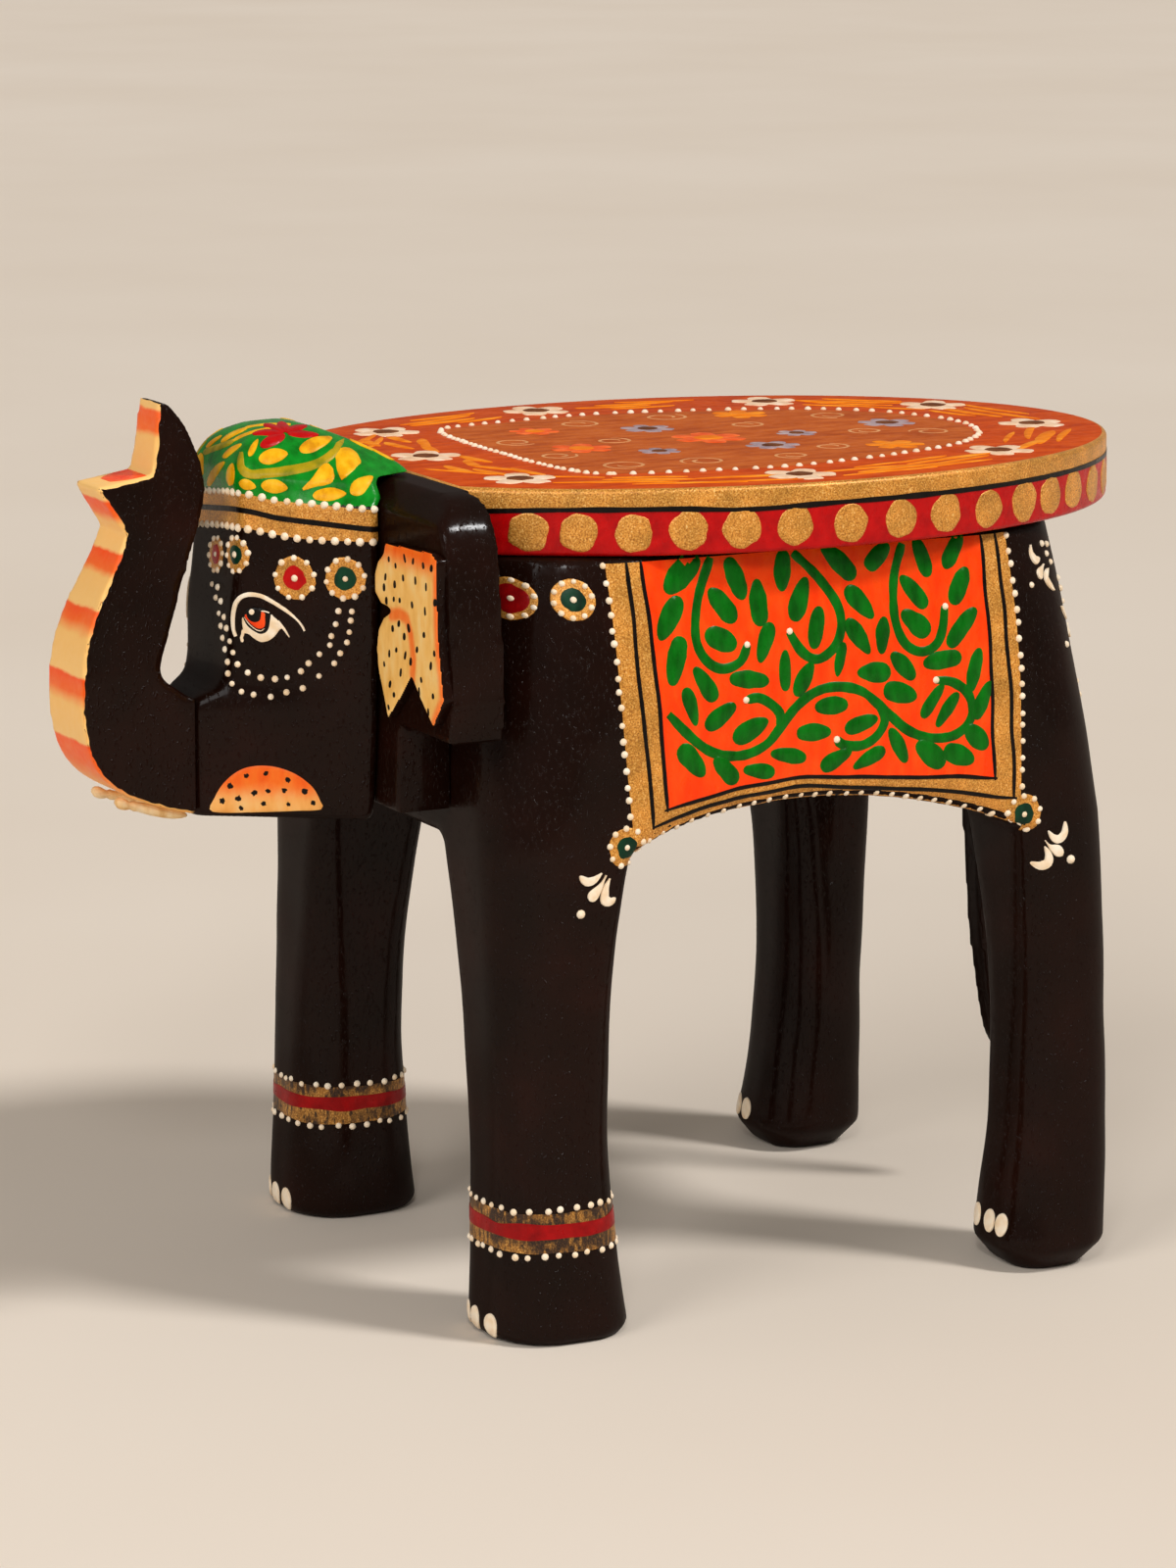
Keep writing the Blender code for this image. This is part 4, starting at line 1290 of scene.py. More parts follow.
def sheet_grid(left, right, low, top, columns, rows):
    """Places over an area between two leaning sides, a curved lower edge and a level top."""
    grid = []
    for i in range(rows + 1):
        row = []
        for j in range(columns + 1):
            guess = mixed(left(150.0), right(150.0), j / columns)
            z = mixed(low(guess), top, i / rows)
            row.append((mixed(left(z), right(z), j / columns), z))
        grid.append(row)
    return grid


def hem(y):
    """Lower edge of the gold, just above the edge of the belly."""
    return arch(min(max(y, HEM_FRONT), HEM_REAR)) + HEM_GAP


def paint_flank(side):
    """Cloth, rosettes and sprays on one side of the body."""
    flank = upright(body_wood, (TORSO_HALF_WIDTH, 0.0), (0.0, 1.0), side)
    gold.patch(flank, sheet_grid(CLOTH_LEFT, CLOTH_RIGHT, hem, CLOTH_TOP, 72, 36), lift=0.1)
    cloth.patch(flank, sheet_grid(PANEL_LEFT, PANEL_RIGHT, PANEL_LOW, CLOTH_TOP, 60, 32), lift=0.17)
    for line in CLOTH_LINES:
        ink.stroke(flank, wavy(smooth_path(line, 1.5), 0.5), even(0.58), lift=0.3)
    for vine in VINES:
        vines.stroke(flank, wavy(smooth_path(vine, 1.0), 0.4), vine_form(1.45), lift=0.26)
        white.dot(flank, vine[-1][0], vine[-1][1], DOT)
    for u, v, lean, length, half in CLOTH_LEAVES:
        form = leaf_form(half, chance.uniform(0.78, 0.9), chance.uniform(-0.25, 0.25))
        leaves.stroke(flank, leaf_path(u, v, lean, length), form, lift=0.3)
    left_edge = [Vector((CLOTH_LEFT(z) - 0.3, z)) for z in range(186, 124, -1)]
    right_edge = [Vector((CLOTH_RIGHT(z) + 0.4, z)) for z in range(186, 123, -1)]
    dotted(flank, left_edge, pitch=3.7)
    dotted(flank, right_edge, pitch=3.6)
    low_edge = [Vector((0.5 * k, hem(0.5 * k) + 0.6)) for k in range(-46, 150)]
    dotted(flank, low_edge, pitch=4.2, dot=0.68)
    rosette(flank, -29.4, 119.9, 4.9, dark_green, 9)
    rosette(flank, 79.6, 117.8, 4.9, dark_green, 9)
    rosette(flank, -39.3, 178.6, 4.9, dark_green, 10, dot=0.7, ring=0.86)
    rosette(flank, -51.2, 178.5, 4.9, deep_red, 10, dot=0.7, ring=0.86, heart=0.7)
    for path, half, peak in SPRAYS:
        white.stroke(flank, smooth_path(path, 0.5), swelling(half, peak), lift=0.6)
    for u, v in SPRAY_DOTS:
        white.dot(flank, u, v, 1.05)
    rump = upright(body_wood, RUMP_CORNER, (-1.0, 1.0), side)
    for path, half, peak in RUMP_SPRAYS:
        white.stroke(rump, smooth_path(path, 0.5), swelling(half, peak), lift=0.5)
    for u, v in RUMP_DOTS:
        upright_dot(rump, u, v, 0.9)


for _, side in SIDES:
    paint_flank(side)

# Head: gold band with drops, rosettes, eye, dotted cheek line, orange cheek and cap
# Sheets before the brow, above the cap, along the side of the face and across its front corner
BROW_SHEET = -101.0
CROWN_SHEET = 210.0
FACE_MIDDLE = (26.0, -88.0)
FACE_RUN = (22.4, 28.0)
FACE_CORNER = (12.4, BROW_SHEET)
FACE_CORNER_RUN = (0.9, 0.44)
# Band: degrees from the front, then height
BAND_LOW = steady((
    (-98.0, 190.3), (-73.0, 190.2), (-36.0, 189.9), (-18.0, 190.6), (0.0, 191.4), (20.0, 192.1),
    (36.0, 192.4), (56.0, 191.2), (73.0, 190.4), (98.0, 190.3),
))
BAND_HIGH = steady((
    (-98.0, 197.8), (-73.0, 198.2), (-36.0, 197.8), (-18.0, 198.5), (0.0, 199.3), (20.0, 200.2),
    (36.0, 200.6), (56.0, 199.2), (73.0, 198.8), (98.0, 197.8),
))
BAND_LINE = steady((
    (-98.0, 193.2), (-80.0, 194.0), (-36.0, 193.9), (-15.0, 194.7), (0.0, 195.3), (20.0, 196.1),
    (36.0, 196.6), (56.0, 195.2), (80.0, 194.2), (98.0, 193.2),
))
BAND_END = 99.0
# Double row of drops: on the front of the face, then under the eye
FRONT_DOTS_OUTER = (
    (0.8, 177.0), (3.9, 174.2), (6.5, 170.8), (8.1, 168.0), (9.4, 165.3), (11.0, 162.8), (12.6, 160.0),
    (13.2, 157.3),
)
FRONT_DOTS_INNER = ((4.4, 176.8), (7.1, 173.8), (9.7, 170.4), (11.6, 168.0), (13.2, 165.1), (14.2, 162.5))
CHEEK_DOTS = (
    (-19.4, 155.0), (-17.0, 153.2), (-14.0, 152.6), (-9.8, 152.2), (-6.0, 153.4), (-2.0, 154.5),
    (2.0, 157.6), (5.8, 160.8), (7.3, 163.3), (9.0, 166.0), (9.6, 168.5), (10.0, 171.3), (10.3, 173.5),
    (-18.0, 159.7), (-15.5, 157.8), (-12.3, 156.7), (-8.8, 156.5), (-5.8, 157.0), (-2.4, 158.6),
    (-0.5, 160.6), (2.2, 162.9), (4.8, 165.2), (5.2, 167.4), (6.3, 170.3), (7.0, 173.5),
)
EYE_BROW = (
    (-18.3, 166.5), (-18.9, 168.0), (-19.1, 170.2), (-18.9, 172.4), (-18.3, 174.4), (-17.2, 175.8),
    (-15.8, 176.5), (-14.1, 176.7), (-12.0, 176.4), (-10.1, 175.6), (-7.7, 174.3), (-5.3, 172.8),
    (-3.1, 171.0), (-1.8, 169.4), (-1.35, 168.4),
)
EYE_WHITE = (
    (-16.4, 171.4), (-16.8, 170.0), (-16.6, 168.4), (-16.5, 167.2), (-15.9, 167.3), (-15.0, 167.0),
    (-14.0, 166.2), (-12.6, 165.4), (-11.5, 165.3), (-10.2, 165.7), (-9.0, 166.5), (-8.0, 167.7),
    (-7.4, 168.5), (-6.6, 169.1), (-7.8, 170.7), (-9.0, 171.7), (-9.7, 172.2), (-13.0, 172.0),
)
EYE_CORNER = ((-16.5, 168.2), (-16.6, 167.0), (-16.9, 166.2), (-16.6, 165.2))
EYE_TAIL = ((-8.0, 170.4), (-7.0, 169.4), (-6.3, 168.6), (-5.7, 167.7), (-5.1, 166.8))
EYE_RING = (
    (-9.6, 172.4), (-9.7, 170.4), (-10.0, 168.8), (-10.6, 167.8), (-11.6, 167.3), (-12.6, 167.3),
    (-14.0, 168.0), (-15.2, 168.9), (-16.0, 170.0), (-16.5, 171.6), (-15.0, 173.4), (-11.5, 173.6),
)
EYE_IRIS = (
    (-16.1, 171.8), (-15.0, 170.1), (-13.3, 168.75), (-12.1, 168.5), (-10.95, 169.2), (-10.85, 171.3),
    (-11.05, 172.6), (-13.5, 172.6),
)
# Thin white line along the lower edge of the iris: a painted highlight on the rim of the iris
EYE_RIM_HIGHLIGHT = ((-16.1, 171.3), (-15.0, 169.75), (-13.3, 168.4), (-12.0, 168.1), (-11.1, 168.7))
EYE_PUPIL = (
    (-11.85, 172.8), (-11.9, 171.3), (-12.3, 170.4), (-13.5, 170.0), (-14.7, 170.4), (-15.45, 171.2),
    (-15.6, 172.2), (-14.6, 173.5), (-12.8, 173.7),
)
EYE_LID = ((-11.9, 172.85), (-10.9, 172.8), (-9.9, 172.5))
EYE_GLINT = (-14.2, 172.6)
CHEEK = (
    (-24.8, 123.6), (-24.0, 127.2), (-21.6, 131.0), (-18.0, 134.0), (-14.0, 135.3), (-9.0, 135.2),
    (-4.0, 133.5), (0.0, 130.4), (1.8, 127.0), (2.0, 124.8), (-5.0, 124.2), (-15.0, 123.6),
)
CHEEK_SPECKS = (
    (-20.0, 130.2), (-16.0, 132.8), (-11.3, 133.5), (-6.0, 132.0), (-22.0, 126.5), (-18.0, 127.2),
    (-14.2, 128.6), (-10.8, 129.2), (-7.0, 129.4), (-2.0, 129.3), (-12.0, 126.0), (-6.0, 126.0),
    (0.0, 126.5), (-17.5, 124.8),
)
# Leaves of the cap: place along the side of the head, height, lean, length, half width
CAP_LEAVES = (
    (-10.0, 209.2, 8, 6.4, 1.6), (-15.0, 211.0, 75, 3.6, 0.85), (-1.5, 211.4, 14, 6.4, 1.5),
    (11.7, 203.0, 38, 5.6, 1.8), (4.5, 200.9, 4, 8.0, 1.5), (-8.8, 202.5, -6, 6.4, 1.6),
    (-15.3, 202.8, -12, 4.3, 1.25), (-20.4, 204.6, 80, 5.4, 1.6),
)
CAP_DROP_LOW = ((-2.0, 202.0), (1.6, 204.4), (4.2, 206.5))
CAP_DROP_HIGH = ((27.4, -80.2), (25.1, -78.4), (22.3, -76.2), (18.9, -74.4))
CAP_VINE = (
    (-17.9, 210.0), (-17.2, 206.8), (-14.8, 205.4), (-11.0, 205.6), (-5.9, 206.2), (-0.9, 207.2),
    (2.0, 208.6), (3.7, 210.4), (3.3, 211.8),
)
# The same on the brow
BROW_LEAVES = (
    (-0.2, 203.5, 33, 12.6, 1.4), (5.8, 209.6, 31, 6.6, 1.2), (-11.5, 205.0, 145, 7.0, 1.4),
    (-6.7, 210.3, 40, 4.6, 0.9),
)
BROW_VINE = ((-8.8, 207.6), (-1.5, 209.9), (3.3, 211.6))
# Top of the cap: lines, a red flower and leaves with their place and lean
CROWN_LINES = (
    ((2.6, -97.6), (5.8, -94.6), (7.2, -91.2), (7.0, -85.6)),
    ((0.6, -93.6), (3.9, -89.4), (6.0, -84.0)),
)
CROWN_FLOWER = Vector((11.0, -87.5))
CROWN_PETALS = (72.0, 118.0, 164.0, -164.0, -118.0, -72.0)
CROWN_LEAVES = (
    (-0.4, -96.0, 46), (-9.0, -78.0, 130), (15.5, -69.5, 40), (2.0, -74.0, 90), (-15.0, -72.0, 150),
    (18.5, -65.8, 35), (-6.0, -68.0, 110), (8.0, -68.0, 70),
)


def brow_form(t):
    """Half width of the line of the brow."""
    return 0.25 + 0.32 * math.sin(math.pi * min(1.0, 0.12 + t)) ** 0.6


def cheek_tint(place):
    """How much orange the cheek has at a place."""
    return 0.22 + 0.78 * ease(125.6, 131.2, place.z)


def head_band():
    """Gold band round the forehead with its black line and two rows of drops."""
    wrap = wrapped(head_wood, middle=(0.0, -80.0), radius=30.0)
    turns = [-BAND_END + 2.0 * BAND_END * i / 120 for i in range(121)]
    rows = []
    for k in range(13):
        rows.append([(a, mixed(BAND_LOW(a), BAND_HIGH(a), k / 12.0)) for a in turns])
    gold.patch(wrap, rows, lift=0.18)
    fine = [-BAND_END + 2.0 * BAND_END * i / 600 for i in range(601)]
    ink.patch(wrap, [[(a, BAND_LINE(a) + k) for a in turns] for k in (-0.65, 0.65)], lift=0.3)
    for edge, shift in ((BAND_LOW, -0.1), (BAND_HIGH, 0.1)):
        for here in spaced(wrap, [Vector((a, edge(a) + shift)) for a in fine], pitch=3.1):
            upright_dot(wrap, here.x, here.y, 0.98)


def paint_face(side):
    """One side of the head."""
    face = upright(head_wood, FACE_MIDDLE, FACE_RUN, side)
    rosette(face, -3.7, 181.0, 5.2, red, 9)
    rosette(face, 8.8, 181.3, 5.1, dark_green, 10)
    if side > 0.0:
        corner = upright(head_wood, FACE_CORNER, FACE_CORNER_RUN, side)
        rosette(corner, 0.0, 185.8, 4.4, dark_green, 10)
        front = facing_front(head_wood, BROW_SHEET)
        for u, v in FRONT_DOTS_OUTER + FRONT_DOTS_INNER:
            upright_dot(front, u, v, 0.8)
    for u, v in CHEEK_DOTS:
        white.dot(face, u, v, 0.78)
    white.stroke(face, smooth_path(EYE_BROW, 0.6), brow_form, lift=0.45)
    white.blob(face, smooth_path(EYE_WHITE, 0.5, True), lift=0.22)
    white.stroke(face, smooth_path(EYE_CORNER, 0.4), even(0.4), lift=0.3)
    white.stroke(face, smooth_path(EYE_TAIL, 0.4), lambda t: 0.55 - 0.42 * t, lift=0.3)
    ink.blob(face, smooth_path(EYE_RING, 0.5, True), lift=0.36)
    iris.blob(face, smooth_path(EYE_IRIS, 0.5, True), lift=0.46)
    # Painted highlight: a thin white line along the lower edge of the iris
    white.stroke(face, smooth_path(EYE_RIM_HIGHLIGHT, 0.4), even(0.14), lift=0.48)
    ink.blob(face, smooth_path(EYE_PUPIL, 0.5, True), lift=0.56)
    white.stroke(face, smooth_path(EYE_LID, 0.4), even(0.17), lift=0.66)
    white.disc(face, EYE_GLINT[0], EYE_GLINT[1], radius=0.72, lift=0.76)
    cheek.blob(face, smooth_path(CHEEK, 1.0, True), lift=0.2)
    for u, v in CHEEK_SPECKS:
        ink.disc(face, u, v, chance.uniform(0.5, 0.85), lift=0.3, ragged=0.3)
    for u, v, lean, length, half in CAP_LEAVES:
        form = leaf_form(1.06 * half, blunt=1.1, taper=0.2)
        yellow.stroke(face, leaf_path(u, v, lean, length), form, lift=0.25)
    yellow.stroke(face, smooth_path(CAP_DROP_LOW, 0.5), drop_form(2.8), lift=0.25)
    crown = facing_down(head_wood, CROWN_SHEET, side)
    yellow.stroke(crown, smooth_path(CAP_DROP_HIGH, 0.5), swelling(3.1, 0.6), lift=0.25)
    olive.stroke(face, smooth_path(CAP_VINE, 0.8), even(1.15), lift=0.2)


def paint_crown():
    """The middle of the brow and the top of the cap."""
    brow = facing_front(head_wood, BROW_SHEET)
    rosette(brow, 1.4, 184.3, 4.3, red, 10)
    for u, v, lean, length, half in BROW_LEAVES:
        yellow.stroke(brow, leaf_path(u, v, lean, length), leaf_form(half, blunt=0.9), lift=0.25)
    olive.stroke(brow, smooth_path(BROW_VINE, 0.8), even(0.9), lift=0.2)
    crown = facing_down(head_wood, CROWN_SHEET)
    for line in CROWN_LINES:
        yellow.stroke(crown, smooth_path(line, 0.8), even(0.9), lift=0.2)
    for turn in CROWN_PETALS:
        reach = CROWN_FLOWER + 4.2 * heading(turn)
        red.stroke(crown, leaf_path(reach.x, reach.y, turn, 7.4), leaf_form(1.7, blunt=0.9), lift=0.28)
    for u, v, lean in CROWN_LEAVES:
        yellow.stroke(crown, leaf_path(u, v, lean, length=6.6), leaf_form(1.6), lift=0.25)


head_band()
for _, side in SIDES:
    paint_face(side)
paint_crown()

# Specks on the ears
EAR_SPECKS = (
    (45.0, 187.5), (54.0, 189.0), (58.8, 189.0), (64.5, 188.8), (69.0, 188.8), (48.8, 186.5),
    (53.0, 184.2), (48.2, 182.0), (43.0, 183.0), (60.0, 184.6), (66.0, 184.0), (58.0, 178.6),
    (65.3, 178.2), (51.0, 178.6), (47.7, 178.4), (43.5, 177.4), (70.6, 181.0), (56.0, 172.8),
    (64.6, 172.5), (50.5, 173.0), (47.0, 171.3), (53.5, 170.4), (60.6, 168.4), (70.3, 169.0),
    (49.0, 166.5), (54.0, 166.0), (57.0, 165.0), (68.3, 165.8), (45.0, 165.0), (51.4, 161.5),
    (62.8, 161.6), (45.2, 157.7), (47.4, 155.5), (61.5, 158.6), (69.3, 158.8), (66.6, 154.6),
    (44.2, 152.0), (42.0, 162.0), (42.2, 180.4),
)
for _, side in SIDES:
    ear = facing_front(ears_wood, EAR_FRONT - EAR_RELIEF, side)
    for u, v in EAR_SPECKS:
        speck = leaf_path(u, v, chance.uniform(60.0, 120.0), chance.uniform(1.2, 2.2))
        ink.stroke(ear, speck, leaf_form(chance.uniform(0.45, 0.75)), lift=0.2)


# Striped face of the trunk

def trunk_spot(u, v):
    """A place across the trunk, over its edge where it is wider, at a point number of its front outline."""
    i = min(int(v), len(STRIP_PATH) - 1)
    here = STRIP_PATH[i]
    ahead = STRIP_PATH[min(i + 1, len(STRIP_PATH) - 1)] - STRIP_PATH[max(i - 1, 0)]
    way = Vector((0.0, -ahead.y, ahead.x)).normalized()
    beyond = abs(u) - trunk_half(here.y)
    if beyond > 0.0:
        return Vector((u, here.x, here.y)) + way * beyond, Vector((math.copysign(1.0, -u), 0.0, 0.0))
    return Vector((u, here.x, here.y)), way


def trunk_half(z):
    """Half thickness of the trunk at one level."""
    t = max(0.0, (z - TRUNK_TAPER_FROM) / (TRUNK_TIP_HEIGHT - TRUNK_TAPER_FROM))
    return mixed(TRUNK_HALF_LOW, TRUNK_HALF_TIP, t)


strip_canvas = Canvas(trunk_wood, trunk_spot)
strip_canvas.REACH = 4.0
strip_rows = []
for i, p in enumerate(STRIP_PATH):
    half = trunk_half(p.y)
    over = 0.45 + 0.5 * noise.noise(Vector((0.45 * i, 0.0, 4.0)))
    edge = [half + over, half + 0.12, half - 0.12, half - 0.4, half - 0.9, half - 2.0]
    inside = [(half - 2.0) * k / 3.0 for k in range(-2, 3)]
    strip_rows.append([(u, i) for u in [-u for u in edge] + inside + edge[::-1]])
strip.patch(strip_canvas, strip_rows, lift=0.2)

# Orange mark on the lip, between two point numbers of the front outline
LIP_FROM = 18
LIP_TO = 26
lip_rows = []
for i in range(LIP_FROM, LIP_TO + 1):
    half = (trunk_half(STRIP_PATH[i].y) - 1.4) * (1.0 - 0.5 * ((i - LIP_FROM) / (LIP_TO - LIP_FROM)) ** 3)
    lip_rows.append([(half * (k / 3.0 - 1.0), i) for k in range(7)])
iris.patch(strip_canvas, lip_rows, lift=0.3)

# Anklets on the front legs, the far one a little higher
ANKLET_RISE = {1.0: 0.6, -1.0: 3.4}
# Lines round the leg: height and the seed of the unsteady hand
ANKLET_GOLD = ((22.2, 1.0), (27.0, 2.0), (32.0, 3.0))
ANKLET_RED = ((25.8, 4.0), (29.4, 5.0))
ANKLET_DOTS = (21.6, 32.6)


def anklet_line(side, level, seed):
    """A level line round a leg, painted with an unsteady hand."""
    line = []
    for turn in range(0, 361, 4):
        swing = noise.noise(heading(turn).to_3d() * 2.5 + UP * (seed * 2.5))
        line.append((turn, level + ANKLET_RISE[side] + 0.6 * swing))
    return line


for _, side in SIDES:
    ankle = wrapped(body_wood, LEG_MIDDLE, radius=18.0, side=side)
    worn.patch(ankle, [anklet_line(side, *line) for line in ANKLET_GOLD], lift=0.14)
    deep_red.patch(ankle, [anklet_line(side, *line) for line in ANKLET_RED], lift=0.26)
    for level in ANKLET_DOTS:
        fine = [Vector((0.5 * i, level + ANKLET_RISE[side])) for i in range(720)]
        for here in spaced(ankle, fine, pitch=3.8):
            upright_dot(ankle, here.x + chance.uniform(-2.0, 2.0), here.y + chance.uniform(-0.4, 0.4), DOT)

# Toenails: side, front of the foot, height of their middle, place across and half width of each
TOENAILS = (
    (1.0, -61.0, 3.7, ((66.0, 2.6), (58.2, 2.3), (52.9, 2.0))),
    (-1.0, -61.0, 3.7, ((70.0, 2.5), (63.4, 2.4), (57.0, 2.4))),
    (1.0, 77.4, 11.3, ((68.9, 2.1), (64.0, 2.4), (57.2, 2.3))),
    (-1.0, 77.4, 9.4, ((76.0, 2.0), (70.6, 2.3), (65.0, 2.4))),
)
for side, front, middle, nails in TOENAILS:
    toes = facing_front(body_wood, front, side)
    for x, half in nails:
        oval = []
        for a in full_turn(24):
            height = middle + 3.0 * math.sin(a) * (1.0 + 0.1 * math.cos(a))
            oval.append(Vector((x + half * math.cos(a), height)))
        white.blob(toes, oval, lift=0.4)

# Rim of the seat: black line between gold and red, gold spots on the red
RIM_SPOTS = [17.0, 29.0, 42.0, 55.0, 68.0, 81.5, 96.0, 110.0, 124.0, 138.0, 151.5, 163.0, 175.0, 188.5]
SPOT_PITCH = 13.3
while RIM_SPOTS[-1] + 2.0 * SPOT_PITCH < RIM_LENGTH:
    RIM_SPOTS.append(RIM_SPOTS[-1] + SPOT_PITCH)


def rim_spot(u, v):
    """A place along the rim, from its near front end, and a height."""
    angle = rim_angle(u)
    place = rim_place(angle)
    out = Vector((math.cos(angle) / SEAT_HALF_WIDTH, math.sin(angle) / SEAT_HALF_LENGTH, 0.0)).normalized()
    return Vector((place.x, place.y, v)), -out


rim = Canvas(seat_wood, rim_spot)
steps = [RIM_LENGTH * i / 400 for i in range(401)]
line = [(u, GOLD_EDGE(u), 0.6 + 0.25 * noise.noise(Vector((u * 0.1, 0.0, 2.0)))) for u in steps]
ink.patch(rim, [[(u, z - half) for u, z, half in line], [(u, z + half) for u, z, half in line]], lift=0.15)
for u in RIM_SPOTS:
    gold.disc(rim, u, 193.9 + chance.uniform(-0.2, 0.2), chance.uniform(4.6, 4.9), lift=0.16, ragged=0.08)

# Top of the seat: y from the middle of the oval along the sheet, x up the sheet
CARTOUCHE_HALF = (
    (-54.5, 14.0), (-53.5, 30.0), (-50.0, 43.0), (-42.0, 47.5), (-23.0, 51.0), (-3.0, 53.3), (15.0, 50.5),
    (30.0, 46.8), (51.0, 39.0), (63.0, 30.0), (70.0, 21.0), (75.0, 7.0),
)
CARTOUCHE_CORNER = -46.0
SEAT_FLOWERS = (
    (-69.0, 43.0), (-6.0, 66.0), (58.0, 51.0), (91.0, 12.0), (-73.0, -2.0), (-64.0, -46.0),
    (-12.0, -66.0), (50.0, -56.0), (86.0, -30.0),
)
INNER_FLOWERS = (
    (4.0, 0.0, 9.0, coral), (-33.0, 3.0, 7.5, coral), (40.0, 31.0, 7.0, amber), (32.0, -36.0, 7.0, amber),
    (12.0, 19.0, 6.5, blue), (-2.0, -22.0, 6.5, blue), (58.0, -5.0, 7.0, blue), (-18.0, 16.0, 5.0, blue),
    (28.0, 2.0, 5.0, blue), (-30.0, -30.0, 6.0, coral),
)
SCROLLS = (
    (-36.0, 34.0, 6.5), (-16.0, 36.0, 6.0), (8.0, 37.0, 5.0), (24.0, 27.0, 5.0), (60.0, 14.0, 5.5),
    (46.0, 6.0, 5.0), (-43.0, -14.0, 5.5), (-14.0, -38.0, 6.0), (12.0, -40.0, 6.0), (52.0, -24.0, 5.5),
    (24.0, -18.0, 5.0), (-20.0, -6.0, 5.0), (-44.0, 12.0, 5.0),
)
top = flat(seat_wood, (0.0, SEAT_CENTRE_Y, SEAT_TOP), (0.0, 1.0, 0.0), (1.0, 0.0, 0.0), -UP)


def round_form(half):
    """A round petal."""
    return lambda t: max(0.2, half * math.sqrt(max(0.0, 1.0 - (2.0 * t - 1.0) ** 2)))


def flower(paint, heart, u, v, size, count, turn):
    """Round petals about a heart."""
    for k in range(count):
        angle = turn + 360.0 * k / count
        reach = heading(angle) * (0.58 * size)
        petal = leaf_path(u + reach.x, v + reach.y, angle, 0.95 * size, bend=0.0)
        paint.stroke(top, petal, round_form(0.4 * size), lift=0.22)
    heart.disc(top, u, v, 0.42 * size, lift=0.34, ragged=0.08)


long_way = smooth_path(CARTOUCHE_HALF + tuple((u, -v) for u, v in reversed(CARTOUCHE_HALF)), 1.0)
across = straight_path((long_way[-1], long_way[0]), 1.0)
panel.blob(top, long_way[::2] + across[1:-1:2], lift=0.12)
half_way = len(long_way) // 2
sides = [p for p in long_way if p.x > CARTOUCHE_CORNER]
front_end = [p for p in long_way[half_way:] if p.x <= CARTOUCHE_CORNER] + across
front_end += [p for p in long_way[:half_way] if p.x <= CARTOUCHE_CORNER]
dotted(top, sides, pitch=4.3, dot=0.85)
dotted(top, front_end, pitch=2.9, dot=0.85)
for i, (u, v) in enumerate(SEAT_FLOWERS):
    flower(petals, hearts, u, v, size=8.2, count=5, turn=20.0 * i)
for u, v, size, paint in INNER_FLOWERS:
    flower(paint, hearts if paint is blue else amber, u, v, size, count=6, turn=11.0 * u)
for u, v, size in SCROLLS:
    path = []
    for k in range(40):
        turn = 0.2 * k + u
        reach = size * (1.0 - 0.016 * k)
        path.append(Vector((u + reach * math.cos(turn), v + reach * math.sin(turn))))
    scrolls.stroke(top, path, even(0.5), lift=0.2)

# Flowing amber strokes between the cartouche and the edge: share of the way out, lean, length, half width
BORDER_STATIONS = 20
BORDER_FRONT = -78.0
FLOWER_ROOM = 12.0
BORDER_STROKES = (
    (0.9, 2.0, 27.0, 1.1), (0.86, -2.0, 30.0, 1.7), (0.815, 3.0, 27.0, 1.4), (0.77, -3.0, 19.0, 1.2),
)
for k in range(BORDER_STATIONS):
    turn = math.tau * (k + 0.5) / BORDER_STATIONS
    for ring, lean, length, half in BORDER_STROKES:
        place = turn + chance.uniform(-0.1, 0.1)
        u = ring * SEAT_HALF_LENGTH * math.cos(place)
        v = ring * SEAT_HALF_WIDTH * math.sin(place)
        near = min((Vector((u, v)) - Vector(f)).length for f in SEAT_FLOWERS)
        if u < BORDER_FRONT or near < FLOWER_ROOM:
            continue
        run_u = -SEAT_HALF_LENGTH * math.sin(place)
        run_v = SEAT_HALF_WIDTH * math.cos(place)
        along = math.degrees(math.atan2(run_v, run_u)) + lean + chance.uniform(-2.0, 2.0)
        path = leaf_path(u, v, along, length * chance.uniform(0.75, 1.1), bend=0.1)
        amber.stroke(top, path, leaf_form(half * chance.uniform(0.7, 1.2), 0.9), lift=0.16)

# Sprays of amber leaves behind the straight front edge: place along, place across, lean
FRONT_LEAVES = (
    (-66.0, 24.0, 62.0), (-70.0, 30.0, 74.0), (-62.0, 33.0, 80.0), (-75.0, 22.0, 84.0),
    (-68.0, 15.0, 100.0), (-64.0, 8.0, 82.0), (-66.0, -14.0, 100.0), (-71.0, -22.0, 84.0),
    (-63.0, -24.0, 108.0), (-75.0, -30.0, 96.0), (-66.0, -33.0, 90.0),
)
for u, v, lean in FRONT_LEAVES:
    amber.stroke(top, leaf_path(u, v, lean, length=14.0, bend=0.14), leaf_form(1.6, blunt=0.9), lift=0.16)

# Make each paint a piece
for paint in Paint.made:
    painted = paint.publish()
    if paint is cheek:
        give_tint(painted, cheek_tint)

# Dowels and nails inside, as packed
for name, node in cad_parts.items():
    if name.endswith("_dowel"):
        node.material_slots[0].material = WOOD
    elif name.endswith("_nail"):
        node.material_slots[0].material = STEEL


# Floor, light and camera

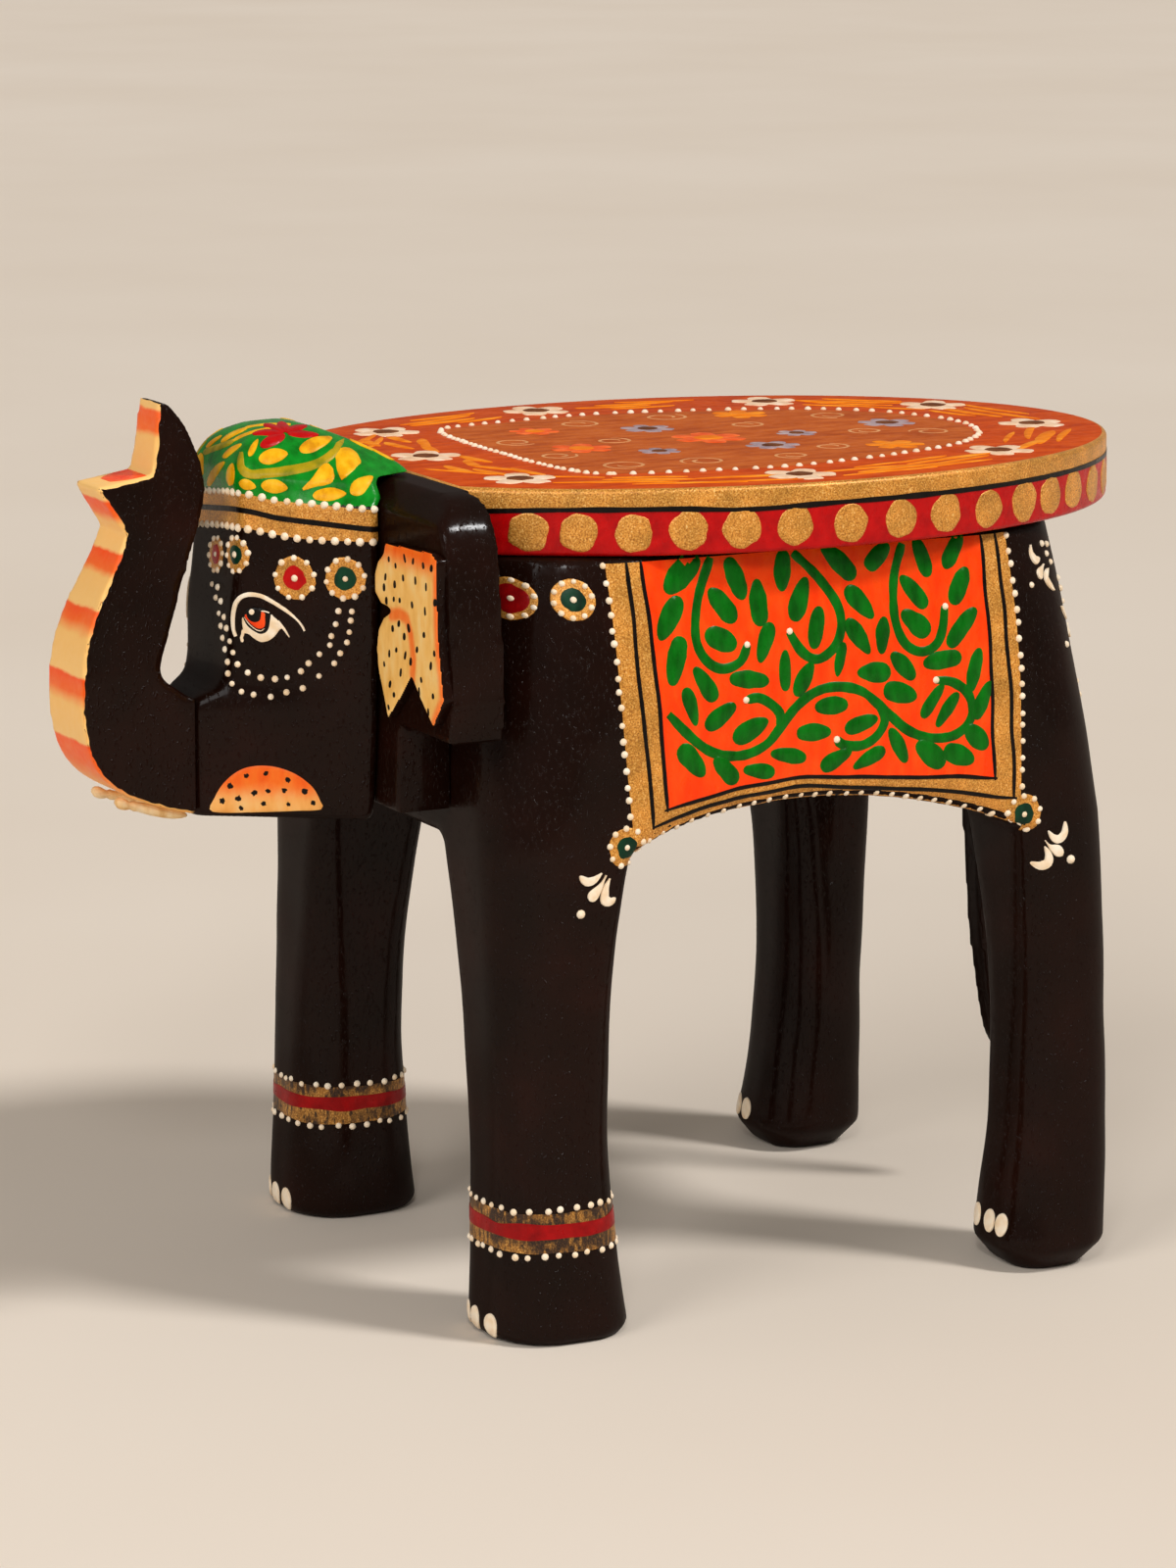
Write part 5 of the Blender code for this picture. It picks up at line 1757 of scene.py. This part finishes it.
def make_floor():
    """A wide, pale studio floor."""
    finish = Finish("floor")
    finish.give("Base Color", finish.ramp(finish.grain(3.0, 3.0), ((0.3, "#E2D4C4"), (0.7, "#E6D9CA"))))
    finish.fix("Roughness", 0.9)
    finish.fix("Specular IOR Level", 0.1)
    bm = bmesh.new()
    bmesh.ops.create_grid(bm, x_segments=8, y_segments=8, size=14.0)
    bmesh.ops.translate(bm, vec=(0.0, 0.0, -0.0002), verts=bm.verts)
    mesh = bpy.data.meshes.new("floor")
    bm.to_mesh(mesh)
    bm.free()
    mesh.materials.append(finish.material)
    floor = bpy.data.objects.new("floor", mesh)
    bpy.context.scene.collection.objects.link(floor)


def aim(obj, place, target):
    """Put an object in a place and turn it to a target."""
    obj.location = place
    obj.rotation_euler = (Vector(target) - Vector(place)).to_track_quat("-Z", "Y").to_euler()


def make_light(name, kind, place, strength, size):
    """A soft lamp that looks at the middle of the stool."""
    data = bpy.data.lights.new(name, kind)
    data.energy = strength
    if kind == "AREA":
        data.size = size
    else:
        data.angle = size
    lamp = bpy.data.objects.new(name, data)
    bpy.context.scene.collection.objects.link(lamp)
    aim(lamp, place, (0.0, 0.0, 0.11))


def make_camera():
    """The camera of the photograph."""
    data = bpy.data.cameras.new("camera")
    data.lens = CAMERA_LENS
    data.sensor_width = 36.0
    data.clip_end = 60.0
    camera = bpy.data.objects.new("camera", data)
    bpy.context.scene.collection.objects.link(camera)
    level = math.cos(CAMERA_TILT)
    way = Vector((-math.sin(CAMERA_TURN) * level, math.cos(CAMERA_TURN) * level, -math.sin(CAMERA_TILT)))
    aim(camera, CAMERA_PLACE, Vector(CAMERA_PLACE) + way)
    bpy.context.scene.camera = camera


make_floor()
make_light("key", "SUN", (1.0, 0.95, 1.7), strength=1.9, size=math.radians(10.0))
make_light("fill", "SUN", (0.6, -1.4, 1.0), strength=0.95, size=math.radians(30.0))
make_light("strip", "AREA", (0.95, -0.55, 0.85), strength=3.5, size=0.2)
make_camera()
world = bpy.data.worlds.new("studio")
world.use_nodes = True
studio_light = world.node_tree.nodes["Background"].inputs
studio_light["Color"].default_value = linear("#F4EEE6")
studio_light["Strength"].default_value = 0.3
bpy.context.scene.world = world
bpy.context.scene.view_settings.view_transform = "Standard"
